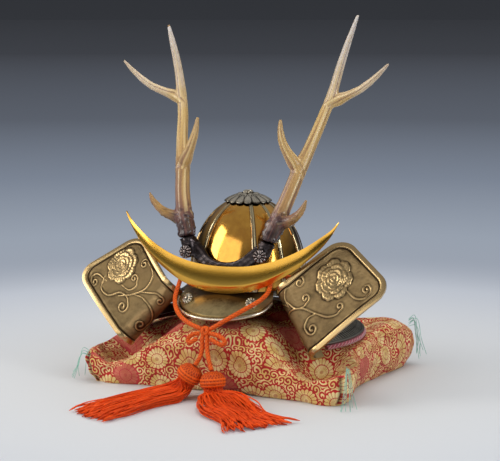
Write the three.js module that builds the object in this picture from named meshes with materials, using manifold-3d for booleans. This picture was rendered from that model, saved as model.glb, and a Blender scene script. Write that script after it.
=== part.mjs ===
import * as THREE from 'three';
import { mergeVertices } from 'three/addons/utils/BufferGeometryUtils.js';
import Module from 'manifold-3d';

const wasm = await Module();
wasm.setup();

// Display kabuto on its cushion. Millimetres, +Z up, the front faces -Y,
// the ground is z = 0 and the upright middle plane is x = 0.

const gap = 0.3;
const frameShift = { x: -2.55, y: -2.25 };

const bowlRadius = 52.5;
const bowlRise = 78;
const bowlRoundness = 2.1;
const bowlWall = 2.4;
const bowlBottomZ = 86;
const bowlCentreY = -10;
const bowlFrontY = bowlCentreY - bowlRadius;
const bowlHoleRadius = 4;
const ribStep = 30;
const ribWidth = 4.8;
const ribTopWidth = 2.6;
const ribRise = 1.1;

const finialRadius = 20.7;

const visorRimRadius = 1.5;
const visorWall = 1.8;
const visorRivetRadius = 4.9;

const crescentSpan = 102;
const crescentDepth = 3.6;
const crescentStandOff = 6.9;
const crescentSweep = 18;

const rosetteRadius = 5.3;

const plateWall = 2.4;
const plateFold = 12;
const plateRim = 4.6;
const plateRimRise = 0.9;
const plateCorner = 17;
const plateReturn = 5;

const lameWall = 1.7;
const guardTopRadius = 52.4;
const guardTopZ = bowlBottomZ - gap;
const lameLap = 0.4;

const cushionWidth = 238;
const cushionLength = 186;
const cushionCentreY = 2.6;
const cushionCrown = 60;
const cushionSquareness = 16;
const cushionEar = 0.04;

const cordDiameter = 4;
const tasselHeadRadius = 10.6;

// Points and vectors

const vec = (x, y, z) => new THREE.Vector3(x, y, z);
const mix = (a, b, t) => a + (b - a) * t;
const rad = THREE.MathUtils.degToRad;
const mirrored = (p) => vec(-p.x, p.y, p.z);
const smooth = (x, a, b) => THREE.MathUtils.smoothstep(x, a, b);

function spread(count, from = 0, to = 1) {
  return Array.from({ length: count }, (_, i) => mix(from, to, i / (count - 1)));
}

// A smooth reading of one column of a table, keyed by its first column.
function reader(table, column) {
  const keys = table.map((row) => row[0]);
  const curve = new THREE.CatmullRomCurve3(
    table.map((row) => vec(row[0], row[column], 0)), false, 'centripetal');
  const samples = curve.getPoints(table.length * 12);
  return (key) => {
    const k = THREE.MathUtils.clamp(key, keys[0], keys[keys.length - 1]);
    let i = 1;
    while (i < samples.length - 1 && samples[i].x < k) i += 1;
    const a = samples[i - 1];
    const b = samples[i];
    const t = b.x > a.x ? THREE.MathUtils.clamp((k - a.x) / (b.x - a.x), 0, 1) : 0;
    return mix(a.y, b.y, t);
  };
}

// Solids

function volumeOf(triangles) {
  return triangles.reduce((sum, [a, b, c]) => sum + a.dot(b.clone().cross(c)) / 6, 0);
}

function solid(triangles) {
  const real = triangles.filter(([a, b, c]) =>
    a.distanceTo(b) > 1e-5 && b.distanceTo(c) > 1e-5 && c.distanceTo(a) > 1e-5);
  const flip = volumeOf(real) < 0;
  const flat = real.flatMap(([a, b, c]) => (flip ? [a, c, b] : [a, b, c]));
  const geometry = new THREE.BufferGeometry();
  const values = flat.flatMap((p) => [p.x, p.y, p.z]);
  geometry.setAttribute('position', new THREE.Float32BufferAttribute(values, 3));
  return mergeVertices(geometry, 1e-4);
}

function bands(rows, wrapRows, wrapPoints) {
  const triangles = [];
  const rowCount = wrapRows ? rows.length : rows.length - 1;
  for (let i = 0; i < rowCount; i += 1) {
    const here = rows[i];
    const next = rows[(i + 1) % rows.length];
    const count = wrapPoints ? here.length : here.length - 1;
    for (let j = 0; j < count; j += 1) {
      const k = (j + 1) % here.length;
      triangles.push([here[j], next[j], next[k]]);
      triangles.push([here[j], next[k], here[k]]);
    }
  }
  return triangles;
}

function fan(ring, turned) {
  const middle = ring.reduce((sum, p) => sum.add(p), vec(0, 0, 0)).divideScalar(ring.length);
  return ring.map((p, i) => {
    const q = ring[(i + 1) % ring.length];
    return turned ? [middle, q, p] : [middle, p, q];
  });
}

// Closed rings joined one to the next; open runs get a cap at each end.
function loft(rings, closed = false) {
  const sides = bands(rings, closed, true);
  if (closed) return solid(sides);
  return solid([...sides, ...fan(rings[0], false), ...fan(rings[rings.length - 1], true)]);
}

// A plate between an outer and an inner grid of points, walled round its edge.
function slab(outer, inner) {
  const edge = (grid) => [
    ...grid[0],
    ...grid.slice(1, -1).map((row) => row[row.length - 1]),
    ...[...grid[grid.length - 1]].reverse(),
    ...grid.slice(1, -1).reverse().map((row) => row[0]),
  ];
  const front = bands(outer, false, false);
  const back = bands(inner, false, false).map(([a, b, c]) => [a, c, b]);
  return solid([...front, ...back, ...bands([edge(inner), edge(outer)], false, true)]);
}

function tube(points, radii, sides, closed = false) {
  const curve = new THREE.CatmullRomCurve3(points, closed, 'centripetal');
  const steps = radii.length - 1;
  const frames = curve.computeFrenetFrames(steps, closed);
  const rings = radii.map((radius, i) => {
    const centre = curve.getPointAt(i / steps);
    return Array.from({ length: sides }, (_, j) => {
      const turn = (2 * Math.PI * j) / sides;
      return centre.clone()
        .addScaledVector(frames.normals[i], radius * Math.cos(turn))
        .addScaledVector(frames.binormals[i], radius * Math.sin(turn));
    });
  });
  return closed ? loft(rings.slice(0, -1), true) : loft(rings);
}

function manifold(geometry) {
  const mesh = new wasm.Mesh({
    numProp: 3,
    vertProperties: new Float32Array(geometry.attributes.position.array),
    triVerts: new Uint32Array(geometry.index.array),
  });
  return new wasm.Manifold(mesh);
}

function plain(body) {
  const mesh = body.getMesh();
  const geometry = new THREE.BufferGeometry();
  geometry.setAttribute('position', new THREE.BufferAttribute(mesh.vertProperties, 3));
  geometry.setIndex(new THREE.BufferAttribute(mesh.triVerts, 1));
  return geometry;
}

function fuse(geometries) {
  const bodies = geometries.map(manifold);
  return plain(bodies.slice(1).reduce((sum, body) => sum.add(body), bodies[0]));
}

function flipSide(geometry) {
  const copy = geometry.clone();
  copy.scale(-1, 1, 1);
  const index = copy.index.array;
  for (let i = 0; i < index.length; i += 3) {
    const kept = index[i + 1];
    index[i + 1] = index[i + 2];
    index[i + 2] = kept;
  }
  return copy;
}

// Bowl: a rounded dome with eleven raised ribs and a broad plain front panel

function domeRing(share, radius, rise) {
  const turn = share * Math.PI / 2;
  return {
    r: radius * Math.cos(turn) ** (2 / bowlRoundness),
    z: bowlBottomZ + rise * Math.sin(turn) ** (2 / bowlRoundness),
  };
}

function bowl() {
  const outerShares = [0, 0.2, 0.4, 0.6, 0.79, 0.94];
  const innerShares = [0.92, 0.5, 0];
  const columns = [];
  for (let k = 1; k < 12; k += 1) {
    columns.push({ angle: k * ribStep, across: -1, lift: 0 });
    columns.push({ angle: k * ribStep, across: -0.66, lift: 1 });
    columns.push({ angle: k * ribStep, across: 0.66, lift: 1 });
    columns.push({ angle: k * ribStep, across: 1, lift: 0 });
  }
  [-0.5, 0, 0.5].forEach((k) => columns.push({ angle: k * ribStep + 360, across: 0, lift: 0 }));
  const at = (column, r, z, share) => {
    const half = mix(ribWidth, ribTopWidth, share) / 2;
    const turn = rad(column.angle) + (column.across * half) / Math.max(r, half * 2);
    const out = r + column.lift * ribRise * (1 - share ** 6);
    return vec(out * Math.sin(turn), bowlCentreY - out * Math.cos(turn), z);
  };
  const loops = columns.map((column) => {
    const outer = outerShares.map((share) => {
      const { r, z } = domeRing(share, bowlRadius, bowlRise);
      return at(column, Math.max(r, bowlHoleRadius), z, share);
    });
    const inner = innerShares.map((share) => {
      const { r, z } = domeRing(share, bowlRadius - bowlWall, bowlRise - bowlWall);
      return at({ ...column, lift: 0 }, r, z, share);
    });
    const top = bowlBottomZ + bowlRise;
    const hole = [top, top - bowlWall].map((z) => at({ ...column, lift: 0 }, bowlHoleRadius, z, 1));
    return [...outer, ...hole, ...inner];
  });
  return loft(loops, true);
}

// Crown finial: a wide petal tier, a smaller one and a button, on a stem

const finialTable = {
  // petals, then rings of share of the radius and height over the seat
  wide: [12, [[0.16, 0], [1, 0], [0.98, 1.5], [0.56, 1.8]]],
  small: [8, [[0.4, 0.6], [0.58, 1.6], [0.46, 3.2]]],
  button: [4, [[0.22, 2], [0.24, 4.4], [0.12, 5.6]]],
};

// Height of the seat, clear of the dome and of its ribs, at a radius from the middle
function seatHeight(r) {
  const dome = bowlRise * (1 - (r / bowlRadius) ** bowlRoundness) ** (1 / bowlRoundness);
  const ribs = ribRise * smooth(r, bowlHoleRadius, finialRadius * 0.6);
  return bowlBottomZ + dome + ribs + gap + 0.25;
}

function finialTier([petals, rows]) {
  const ring = ([share, lift]) => Array.from({ length: petals * 3 }, (_, i) => {
    const turn = (2 * Math.PI * i) / (petals * 3);
    const r = finialRadius * share * (i % 3 ? 1 : 1 - 0.13 * share);
    return vec(r * Math.sin(turn), bowlCentreY - r * Math.cos(turn), seatHeight(r) + lift);
  });
  return loft(rows.map(ring));
}

function crownFinial() {
  const ring = (r, z) => Array.from({ length: 10 }, (_, i) => {
    const turn = (2 * Math.PI * i) / 10;
    return vec(r * Math.sin(turn), bowlCentreY - r * Math.cos(turn), z);
  });
  const stemRadius = bowlHoleRadius - gap - 0.2;
  const top = bowlBottomZ + bowlRise;
  const stem = loft([ring(stemRadius, top - 4), ring(stemRadius, top + 1.5)]);
  return fuse([...Object.values(finialTable).map(finialTier), stem]);
}

// Visor: a flaring peak under the bowl front, rolled at its lower edge

const visorRimTable = [
  // side, y, z of the rim, half of it
  [0, -93.4, 66.8],
  [18, -90.6, 67.7],
  [31.5, -82.8, 69.9],
  [40.5, -72, 72.6],
  [44.6, -60.5, 78],
];
const visorReach = 44.6;
const visorShare = 0.9;
const visorRimY = reader(visorRimTable, 1);
const visorRimZ = reader(visorRimTable, 2);

function visorRimPoint(side) {
  const x = Math.abs(side) * visorReach;
  return vec(side * visorReach, visorRimY(x), visorRimZ(x));
}

function visorPoint(side, out, lift) {
  const rim = visorRimPoint(side);
  const turn = Math.asin((rim.x / visorReach) * 0.76);
  const root = bowlRadius - 0.5;
  const top = vec(root * Math.sin(turn), bowlCentreY - root * Math.cos(turn), bowlBottomZ - gap - 0.2);
  const p = top.clone().lerp(rim, out);
  p.z += 3.4 * Math.sin(Math.PI * out) * (1 - 0.4 * out) * (1 - 0.5 * side * side);
  p.z += lift;
  return p;
}

const visorSides = spread(15, -1, 1);

function visor() {
  const outs = [0, 0.3, 0.6, 0.86, 1];
  const grid = (drop) => visorSides.map((side) =>
    outs.map((out) => visorPoint(side, out * (visorShare - 0.07 * side ** 4), -drop)));
  return slab(grid(0), grid(visorWall));
}

function visorRim() {
  const points = visorSides.map((side) => visorRimPoint(side).add(vec(0, 0, -0.4)));
  return tube(points, Array(points.length).fill(visorRimRadius), 6);
}

// A round flower boss of raised petals, set on its own axis

function flowerBoss(centre, facing, radius, petals, height) {
  const sides = petals * 2;
  const up = vec(0, 0, 1);
  const across = up.clone().cross(facing).normalize();
  const high = facing.clone().cross(across).normalize();
  const ring = (scale, out, lobe) => Array.from({ length: sides }, (_, i) => {
    const turn = (2 * Math.PI * i) / sides;
    const r = radius * scale * (i % 2 ? 1 - lobe : 1);
    const rise = out - (i % 2 ? lobe * height * 0.8 : 0);
    return centre.clone()
      .addScaledVector(across, r * Math.cos(turn))
      .addScaledVector(high, r * Math.sin(turn))
      .addScaledVector(facing, rise);
  });
  return loft([ring(0.96, 0, 0.12), ring(0.96, height * 0.5, 0.12), ring(0.4, height * 0.7, 0),
    ring(0.26, height * 1.15, 0)]);
}

function visorRivet(side) {
  const foot = visorPoint(side * 0.7, 0.6, 0);
  const facing = vec(side * 0.34, -0.72, 0.62).normalize();
  return flowerBoss(foot.addScaledVector(facing, 1.5), facing, visorRivetRadius, 10, 2);
}

// Crescent: a long polished moon with a ridge near its lower edge, bowed back

const crescentTable = [
  // share of the half span, z of the lower edge, of the ridge and of the upper edge
  [0, 84.7, 91.6, 108.7],
  [0.13, 85.7, 92.4, 109.1],
  [0.26, 88.4, 94.8, 110.5],
  [0.4, 93.4, 99.1, 113.7],
  [0.54, 101.2, 105.9, 118.4],
  [0.7, 112.2, 115.5, 126.3],
  [0.84, 125, 127.3, 135.7],
  [0.94, 138, 139.2, 143.6],
  [1, 149.2, 149.6, 150.8],
];

function crescentAt(share) {
  const s = Math.abs(share);
  return {
    x: share * crescentSpan,
    y: bowlFrontY - crescentStandOff + crescentSweep * s ** 2.6,
    low: reader(crescentTable, 1)(s),
    ridge: reader(crescentTable, 2)(s),
    high: reader(crescentTable, 3)(s),
    deep: crescentDepth * (1 - 0.66 * s ** 3),
  };
}

function crescent() {
  const rings = spread(23, -1, 1).map((share) => {
    const { x, y, low, ridge, high, deep } = crescentAt(share);
    const bend = (2.6 * crescentSweep * Math.abs(share) ** 1.6 * Math.sign(share)) / crescentSpan;
    const lean = (dy) => x - dy * bend * 0.6;
    return [
      vec(lean(deep * 0.35), y + deep * 0.35, high),
      vec(lean(0.1), y + deep * 0.1, mix(ridge, high, 0.5)),
      vec(x, y, ridge),
      vec(lean(deep * 0.55), y + deep * 0.55, low),
      vec(lean(deep), y + deep, mix(low, ridge, 0.3)),
      vec(lean(deep), y + deep, mix(ridge, high, 0.9)),
    ];
  });
  return loft(rings);
}

// A place measured back from the bowl's front, so that what stands there follows the bowl
function onFront(row, side) {
  return vec(side * row[0], bowlFrontY + row[1], row[2]);
}

// Yoke: a dark cradle behind the crescent that ends in the two antler sockets

const yokeTable = [
  // x, y behind the bowl's front, z of the middle line, half breadth, half depth
  [0, -1.25, 106.6, 5.6, 1.25],
  [9, -0.9, 107.3, 5.7, 1.25],
  [17.5, 0.8, 110.4, 6.2, 1.7],
  [24.5, 3.9, 115.8, 6.8, 2.8],
  [29.8, 5.9, 121.4, 6.2, 4],
  [34, 6.5, 127, 4, 3.6],
];

const socketTable = [
  // x, y behind the bowl's front, z, radius
  [32.4, 5.7, 114.4, 5.4],
  [33.6, 5.5, 117.5, 6.4],
  [35.4, 5.5, 122.5, 6.6],
  [37.4, 6.1, 128, 6.9],
  [38.2, 6.5, 130.4, 7.1],
];

function yokeBand() {
  const half = yokeTable.map((row) => ({ p: onFront(row, 1), w: row[3], d: row[4] }));
  const whole = [...half.slice(1).reverse().map(({ p, w, d }) => ({ p: mirrored(p), w, d })), ...half];
  const curve = new THREE.CatmullRomCurve3(whole.map(({ p }) => p), false, 'centripetal');
  const last = whole.length - 1;
  const rings = spread(15).map((t) => {
    const p = curve.getPoint(t);
    const along = curve.getTangent(t);
    const i = Math.min(Math.floor(t * last), last - 1);
    const f = t * last - i;
    const w = mix(whole[i].w, whole[i + 1].w, f);
    const d = mix(whole[i].d, whole[i + 1].d, f);
    const across = vec(0, 1, 0).cross(along).normalize();
    const at = (sw, sd) => p.clone().addScaledVector(across, sw * w).add(vec(0, sd * d, 0));
    return [at(-1, 0.6), at(-0.8, -1), at(0.8, -1), at(1, 0.2), at(0.8, 1), at(-0.8, 1)];
  });
  return loft(rings);
}

function antlerYoke() {
  const socket = (side) => tube(socketTable.map((row) => onFront(row, side)),
    spread(5).map((t) => reader(socketTable.map((row, i) => [i / 4, row[3]]), 1)(t)), 10);
  return fuse([yokeBand(), socket(1), socket(-1)]);
}

const rosettePlace = [35.4, -2.7, 119.5];

function rosette(side) {
  const facing = vec(side * 0.1, -0.97, 0.16).normalize();
  return flowerBoss(onFront(rosettePlace, side), facing, rosetteRadius, 10, 2);
}

// Antlers: one beam and three tines each, bumps round the root

const beamTable = [
  // x, y behind the bowl's front, z, radius
  [38.6, 6.7, 131.6, 7.6],
  [40.6, 8.9, 137.6, 8.1],
  [43.5, 11.8, 144.8, 7.9],
  [46.8, 16.3, 155, 7.1],
  [50.5, 21.7, 167, 6.8],
  [56, 33.5, 189.4, 6.5],
  [62.8, 46.5, 213.1, 5.3],
  [69, 61.7, 238.5, 4.8],
  [74.2, 68.9, 257.6, 4.3],
  [80.2, 73.1, 282.4, 3.6],
  [86, 75.1, 301.5, 2.8],
];
const beamTips = { left: [91, 77.4, 316.6, 1.3], right: [93.6, 78.9, 325.4, 1.3] };

const tineTable = [
  // name, then x, y behind the bowl's front, z and radius from the root outward
  ['brow', [[43, 13.9, 146.5, 6], [50.2, 14.1, 147.2, 5.4], [56.6, 11.3, 149.2, 4.6],
    [63.4, 7.7, 153, 3.9], [70.4, 5.5, 160, 2.9], [75, 4.7, 169.2, 1.1]]],
  ['second', [[56.4, 34.1, 187, 4.6], [52.3, 32.1, 197.6, 5.2], [46, 29.3, 208.6, 4.4],
    [41.2, 29.1, 221.4, 3.3], [39.9, 31.6, 235.4, 1.4]]],
  ['outer', [[71.4, 65.9, 247, 4.4], [80, 69.9, 251.8, 4.6], [90.6, 65.9, 256, 3.9],
    [102.4, 62.5, 261.4, 3.4], [116.4, 61.1, 271.8, 2.7], [128.6, 60.1, 283.8, 1.1]]],
];

function branch(rows, steps, sides, side) {
  const shares = spread(steps + 1);
  const width = reader(rows.map((row, i) => [i / (rows.length - 1), row[3]]), 1);
  const curve = new THREE.CatmullRomCurve3(rows.map((row) => onFront(row, 1)),
    false, 'centripetal');
  const lengths = rows.map((_, i) => {
    const t = i / (rows.length - 1);
    const whole = curve.getLengths(200);
    return whole[Math.round(t * 200)] / whole[200];
  });
  const keyOf = (share) => {
    let i = 1;
    while (i < lengths.length - 1 && lengths[i] < share) i += 1;
    const t = (share - lengths[i - 1]) / (lengths[i] - lengths[i - 1]);
    return (i - 1 + t) / (rows.length - 1);
  };
  const radii = shares.map((share) => width(keyOf(share)));
  return tube(rows.map((row) => onFront(row, side)), radii, sides);
}

const burrTable = [
  // share round the root, z, bump radius
  [0.1, 137, 1.7],
  [0.4, 139.5, 1.6],
  [0.66, 136, 1.7],
  [0.8, 141.5, 1.5],
];

function antler(side) {
  const beam = [...beamTable, side > 0 ? beamTips.right : beamTips.left];
  const beamX = reader(beamTable.map((row) => [row[2], row[0]]), 1);
  const beamY = reader(beamTable.map((row) => [row[2], bowlFrontY + row[1]]), 1);
  const bumps = burrTable.map(([share, z, size]) => {
    const turn = 2 * Math.PI * share;
    const at = vec(side * (beamX(z) + 7.2 * Math.cos(turn)), beamY(z) + 7.2 * Math.sin(turn), z + 1);
    return new THREE.IcosahedronGeometry(size, 0).translate(at.x, at.y, at.z);
  }).map((geometry) => {
    geometry.deleteAttribute('normal');
    geometry.deleteAttribute('uv');
    return mergeVertices(geometry, 1e-4);
  });
  return fuse([branch(beam, 19, 8, side), ...tineTable.map((row) => branch(row[1], 6, 6, side)),
    ...bumps]);
}

// Side plates: each a broad rounded sheet, turned up from a rolled fold

const plateCorners = {
  // corners as x outward, y, z: fold by the visor, fold at the outside, top, tip
  left: [[47.6, -59, 85.4], [88, -79.7, 36.4], [92.4, -24.8, 125.6], [148, -51.9, 91]],
  right: [[47.6, -59, 90], [88.4, -79.7, 38], [97, -24.8, 134], [153, -51.9, 97.4]],
};
const returnWay = vec(0.554, 0.823, 0.113);
const plateBulge = 2.6;

// Everything about one plate, written for the right-hand side
function sidePlate(name) {
  const [foldInner, foldOuter, plateTop, plateTip] = plateCorners[name].map((c) => vec(...c));
  const foldLine = foldOuter.clone().sub(foldInner);
  const foldLength = foldLine.length();
  const foldAxis = foldLine.clone().divideScalar(foldLength);
  const offAxis = (v) => v.clone().addScaledVector(foldAxis, -v.dot(foldAxis));

  function foldFrame(share) {
    const inner = plateTop.clone().sub(foldInner);
    const outer = plateTip.clone().sub(foldOuter);
    const edge = inner.clone().lerp(outer, share);
    const slide = edge.dot(foldAxis);
    const rise = offAxis(edge);
    const up = rise.clone().normalize();
    const back = offAxis(returnWay).normalize();
    const inward = up.clone().add(back).normalize();
    const upNormal = foldAxis.clone().cross(up);
    const backNormal = foldAxis.clone().cross(back).negate();
    const half = Math.acos(THREE.MathUtils.clamp(-upNormal.dot(inward), -1, 1));
    const turnSide = upNormal.clone().addScaledVector(inward, -upNormal.dot(inward)).normalize();
    const centre = foldInner.clone().addScaledVector(foldLine, share).addScaledVector(inward, plateFold);
    return { up, back, inward, upNormal, backNormal, half, turnSide, centre,
      length: rise.length() - plateFold * 0.9, slide: slide / rise.length() };
  }

  function cornerCut(share) {
    const reach = Math.min(share, 1 - share) * foldLength * 1.06;
    if (reach >= plateCorner) return 0;
    return plateCorner - Math.sqrt(plateCorner ** 2 - (plateCorner - reach) ** 2);
  }

  // along counts from the start of the short return, over the fold, to the free edge
  function platePoint(share, along, lift) {
    const f = foldFrame(share);
    const arc = 2 * f.half * plateFold;
    if (along < plateReturn) {
      return f.centre.clone().addScaledVector(f.backNormal, plateFold + lift)
        .addScaledVector(f.back, plateReturn - along);
    }
    if (along < plateReturn + arc) {
      const turn = (along - plateReturn) / plateFold - f.half;
      return f.centre.clone()
        .addScaledVector(f.inward, -Math.cos(turn) * (plateFold + lift))
        .addScaledVector(f.turnSide, Math.sin(turn) * (plateFold + lift));
    }
    const rise = along - plateReturn - arc;
    const swell = plateBulge * Math.sin(Math.PI * Math.min(rise / f.length, 1));
    return f.centre.clone().addScaledVector(f.upNormal, plateFold + lift + swell)
      .addScaledVector(f.up, rise)
      .addScaledVector(foldAxis, f.slide * rise);
  }

  function plateEnd(share) {
    const f = foldFrame(share);
    return plateReturn + 2 * f.half * plateFold + f.length - cornerCut(share);
  }

  function plateSheet() {
    const rimShare = plateRim / foldLength;
    const step = 0.6 / foldLength;
    const shares = [0, rimShare - step, rimShare + step, 0.24, 0.42, 0.6, 0.77,
      1 - rimShare - step, 1 - rimShare + step, 1];
    const isRim = (i) => i <= 1 || i >= shares.length - 2;
    const outer = [];
    const inner = [];
    shares.forEach((share, i) => {
      const end = plateEnd(share);
      const inBody = end - plateRim - 0.6;
      const stops = [0, 0.09, 0.18, 0.27, 0.37, 0.58, 0.8, 1].map((s) => s * inBody);
      const alongs = [...stops, end - plateRim + 0.6, end];
      const raised = (j) => isRim(i) || j >= alongs.length - 2;
      outer.push(alongs.map((along, j) => platePoint(share, along, raised(j) ? plateRimRise : 0)));
      inner.push(alongs.map((along) => platePoint(share, along, -plateWall)));
    });
    return slab(outer, inner);
  }

  const scrollTable = [
    // share and height of the middle, start radius, end radius, start turn, turns
    [0.8, 0.82, 6.6, 2, 0.1, 1.1],
    [0.24, 0.46, 8.2, 2.4, 0.3, 1.15],
    [0.8, 0.38, 7.6, 2.4, 0.8, -1.15],
    [0.52, 0.16, 10, 3, 0.05, 1.15],
  ];

  function plateSpot(share, height) {
    const f = foldFrame(share);
    const base = plateReturn + f.half * plateFold;
    return base + height * (plateEnd(share) - base);
  }

  function scroll([share, height, from, to, start, turns]) {
    const points = spread(9).map((t) => {
      const r = mix(from, to, t ** 0.8);
      const turn = 2 * Math.PI * (start + turns * t);
      const at = share + (r * Math.cos(turn)) / foldLength;
      return platePoint(at, plateSpot(share, height) + r * Math.sin(turn), 0.25);
    });
    return tube(points, spread(9, 1.25, 0.8), 4);
  }

  function peony(share, height, radius) {
    const tier = (scale, petals, low, high, wave) => {
      const ring = (size, lift) => Array.from({ length: petals * 2 }, (_, i) => {
        const turn = (Math.PI * i) / petals;
        const r = radius * scale * size * (1 - wave * (i % 2));
        return platePoint(share + (r * Math.cos(turn)) / foldLength,
          plateSpot(share, height) + r * Math.sin(turn), lift);
      });
      return loft([ring(0.9, low - 1.2), ring(1, low + 0.3), ring(0.6, high)]);
    };
    return fuse([tier(1, 9, 0, 1.5, 0.14), tier(0.6, 7, 0.6, 2.8, 0.2)]);
  }

  return fuse([plateSheet(), peony(0.46, 0.7, 13.6), ...scrollTable.map(scroll)]);
}

// Neck guard: three lapped lames that flare out round the sides and back

const lameTable = [
  // top radius, bottom radius, drop, start angle from the front at top and bottom
  [guardTopRadius, 76.5, 14.7, 60, 60],
  [74.4, 92, 11.4, 60.1, 60],
  [89.8, 105.5, 11.7, 60.4, 60.2],
];

// Each lame hangs close under the one above it.
const lames = [];
lameTable.forEach(([topR, lowR, drop, topStart, lowStart], i) => {
  const above = lames[i - 1];
  const topZ = above ? above.underside(topR) : guardTopZ;
  const slope = drop / (lowR - topR);
  const underside = (r) => topZ - drop + (lowR - r) * slope
    - (lameWall + lameLap) * Math.hypot(1, slope);
  lames.push({ topR, lowR, topZ, lowZ: topZ - drop, topStart, lowStart, underside });
});

function lame({ topR, topZ, lowR, lowZ, topStart, lowStart }) {
  const slope = vec(lowR - topR, 0, lowZ - topZ).normalize();
  const out = vec(-slope.z, 0, slope.x);
  const at = (turn, t, lift) => {
    const start = mix(topStart, lowStart, t);
    const angle = rad(mix(start, 360 - start, turn));
    const flare = -1.2 * Math.sin(Math.PI * t);
    const r = mix(topR, lowR, t) + out.x * (lift + flare);
    const z = mix(topZ, lowZ, t) + out.z * (lift + flare);
    return vec(r * Math.sin(angle), bowlCentreY - r * Math.cos(angle), z);
  };
  const turns = spread(21);
  const grid = (lift) => turns.map((turn) => [0, 0.5, 1].map((t) => at(turn, t, lift)));
  return slab(grid(0), grid(-lameWall));
}

// Padded lacing under the lowest edge, section given outward and down from that edge
const lacingSection = [[-3.1, -1.4], [0.1, -1.6], [1.5, -3.4], [0.3, -5.2], [-2.7, -4.8]];
const lacingSetBack = 3.4;

function lacing() {
  const { lowR, lowZ, lowStart } = lames[lames.length - 1];
  const rings = spread(21).map((t) => {
    const start = lowStart + lacingSetBack;
    const angle = rad(mix(start, 360 - start, t));
    return lacingSection.map(([out, up]) =>
      vec((lowR + out) * Math.sin(angle), bowlCentreY - (lowR + out) * Math.cos(angle), lowZ + up));
  });
  return loft(rings);
}

// Cushion: a squared pillow, pressed down by the guard and by the plate corners

const dentTable = [
  // x, y, radius, depth of the dents, right half
  [92, -70, 30, 30],
  [100, -52, 26, 12],
];

function cushionTop(x, y) {
  const fromBowl = Math.hypot(x, y - bowlCentreY);
  const front = smooth(-y, 10, 70);
  const under = 17.6 * smooth(fromBowl, 56, 86) * (1 - smooth(fromBowl, 108, 142));
  const guard = under * (1 - front * smooth(60 - Math.abs(x), 0, 30));
  const dents = dentTable.reduce((sum, [dx, dy, size, deep]) => {
    const d = Math.hypot(Math.abs(x) - dx, y - dy) / size;
    return sum + deep * Math.exp(-2.2 * d * d);
  }, 0);
  return cushionCrown - guard - dents;
}

function cushion() {
  const side = [-1, -0.9, -0.72, -0.44, -0.15, 0.15, 0.44, 0.72, 0.9];
  const square = [...side.map((t) => [t, -1]), ...side.map((t) => [1, t]),
    ...side.map((t) => [-t, 1]), ...side.map((t) => [-1, -t])];
  const ring = (scale, height) => square.map(([u, v]) => {
    const reach = (Math.abs(u) ** cushionSquareness + Math.abs(v) ** cushionSquareness)
      ** (-1 / cushionSquareness);
    const nearCorner = smooth(Math.hypot(u * reach, v * reach), 1.1, 1.38);
    const ear = 1 + cushionEar * nearCorner * (1 - (2 * height - 1) ** 2);
    const x = (cushionWidth / 2) * scale * ear * u * reach;
    const y = cushionCentreY + (cushionLength / 2) * scale * v * reach;
    const corner = smooth(Math.hypot(u * reach, v * reach), 1.05, 1.36);
    const top = (cushionTop(x, y) - 4) * (1 - 0.16 * corner);
    return vec(x, y, height > 0 ? height * top : 0);
  });
  return loft([ring(0.985, 0), ring(1.025, 0.2), ring(1.04, 0.48), ring(1.02, 0.76), ring(0.965, 0.93),
    ring(0.87, 1), ring(0.76, 1.03), ring(0.62, 1.05), ring(0.46, 1.06), ring(0.24, 1.06)]);
}

// Cord: round the bowl, down past the visor to a bow knot, then two tassels

const knotCentre = vec(-1.5, -98.2, 57);

const cordLoopRoute = [
  [-5.7, -98, 58.7],
  [-16, -96.8, 61.6],
  [-28.5, -91, 66.6],
  [-38.5, -80.6, 73],
  [-43.2, -71.5, 80],
  [-42.6, -65.2, 90],
  [-42.3, -59.4, 98.5],
  [-47, -45, 100],
  [-54.4, -27, 94],
  [-57, -8, 87.4],
  [-50.4, 17.8, 86.4],
  [-29.4, 38.6, 86.4],
  [0, 47.1, 86.4],
  [29.4, 38.6, 86.4],
  [50.4, 17.8, 86.4],
  [57, -8, 87.4],
  [54.4, -27, 94],
  [47, -45, 100],
  [43.4, -58.4, 98.5],
  [44, -66, 90],
  [41.6, -77.6, 84],
  [33.4, -88.4, 78],
  [20.4, -95.6, 69.8],
  [9.6, -98, 63],
  [3, -98.2, 59.1],
];

const bowRoute = [
  [3.2, -99.6, 55.6],
  [10, -101, 54.8],
  [17, -102, 52.6],
  [20.6, -103, 49.2],
  [17.4, -103.6, 46.6],
  [11.4, -103, 47.4],
  [5.2, -102.2, 50.8],
];

const endRoutes = {
  left: [[-3.4, -100.2, 52.2], [-2.6, -102.6, 43], [-3.2, -105.4, 36], [-6.3, -108.8, 29]],
  right: [[1, -100, 52.6], [2.6, -103.4, 43], [5.4, -107, 35], [10.1, -111.3, 26.6]],
};

function cordTube(route, steps) {
  return tube(route.map(([x, y, z]) => vec(x, y, z)), Array(steps + 1).fill(cordDiameter / 2), 8);
}

// The left bow is the shorter one.
const bowMirror = ([x, y, z]) => [-6.7 - (x - 4.4) * 0.62, y - 0.4, z - 0.6];

function knot() {
  const turnRound = (tilt, size, thick) => {
    const points = spread(9).slice(0, -1).map((t) => {
      const turn = 2 * Math.PI * t;
      return vec(size * Math.cos(turn), thick * Math.sin(turn), size * 0.86 * Math.sin(turn))
        .applyAxisAngle(vec(0, 1, 0), tilt).add(knotCentre);
    });
    return tube(points, Array(11).fill(cordDiameter / 2), 6, true);
  };
  const core = tube([vec(-2.6, 0, 0), vec(0, 0, 0), vec(2.6, 0, 0)].map((p) => p.add(knotCentre)),
    [2.6, 3.4, 2.6], 8);
  return fuse([turnRound(0.5, 2.7, 1.6), turnRound(2.1, 2.6, -1.6), core]);
}

// Tassels: a netted round head and a skirt of strand locks lying on the ground

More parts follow.
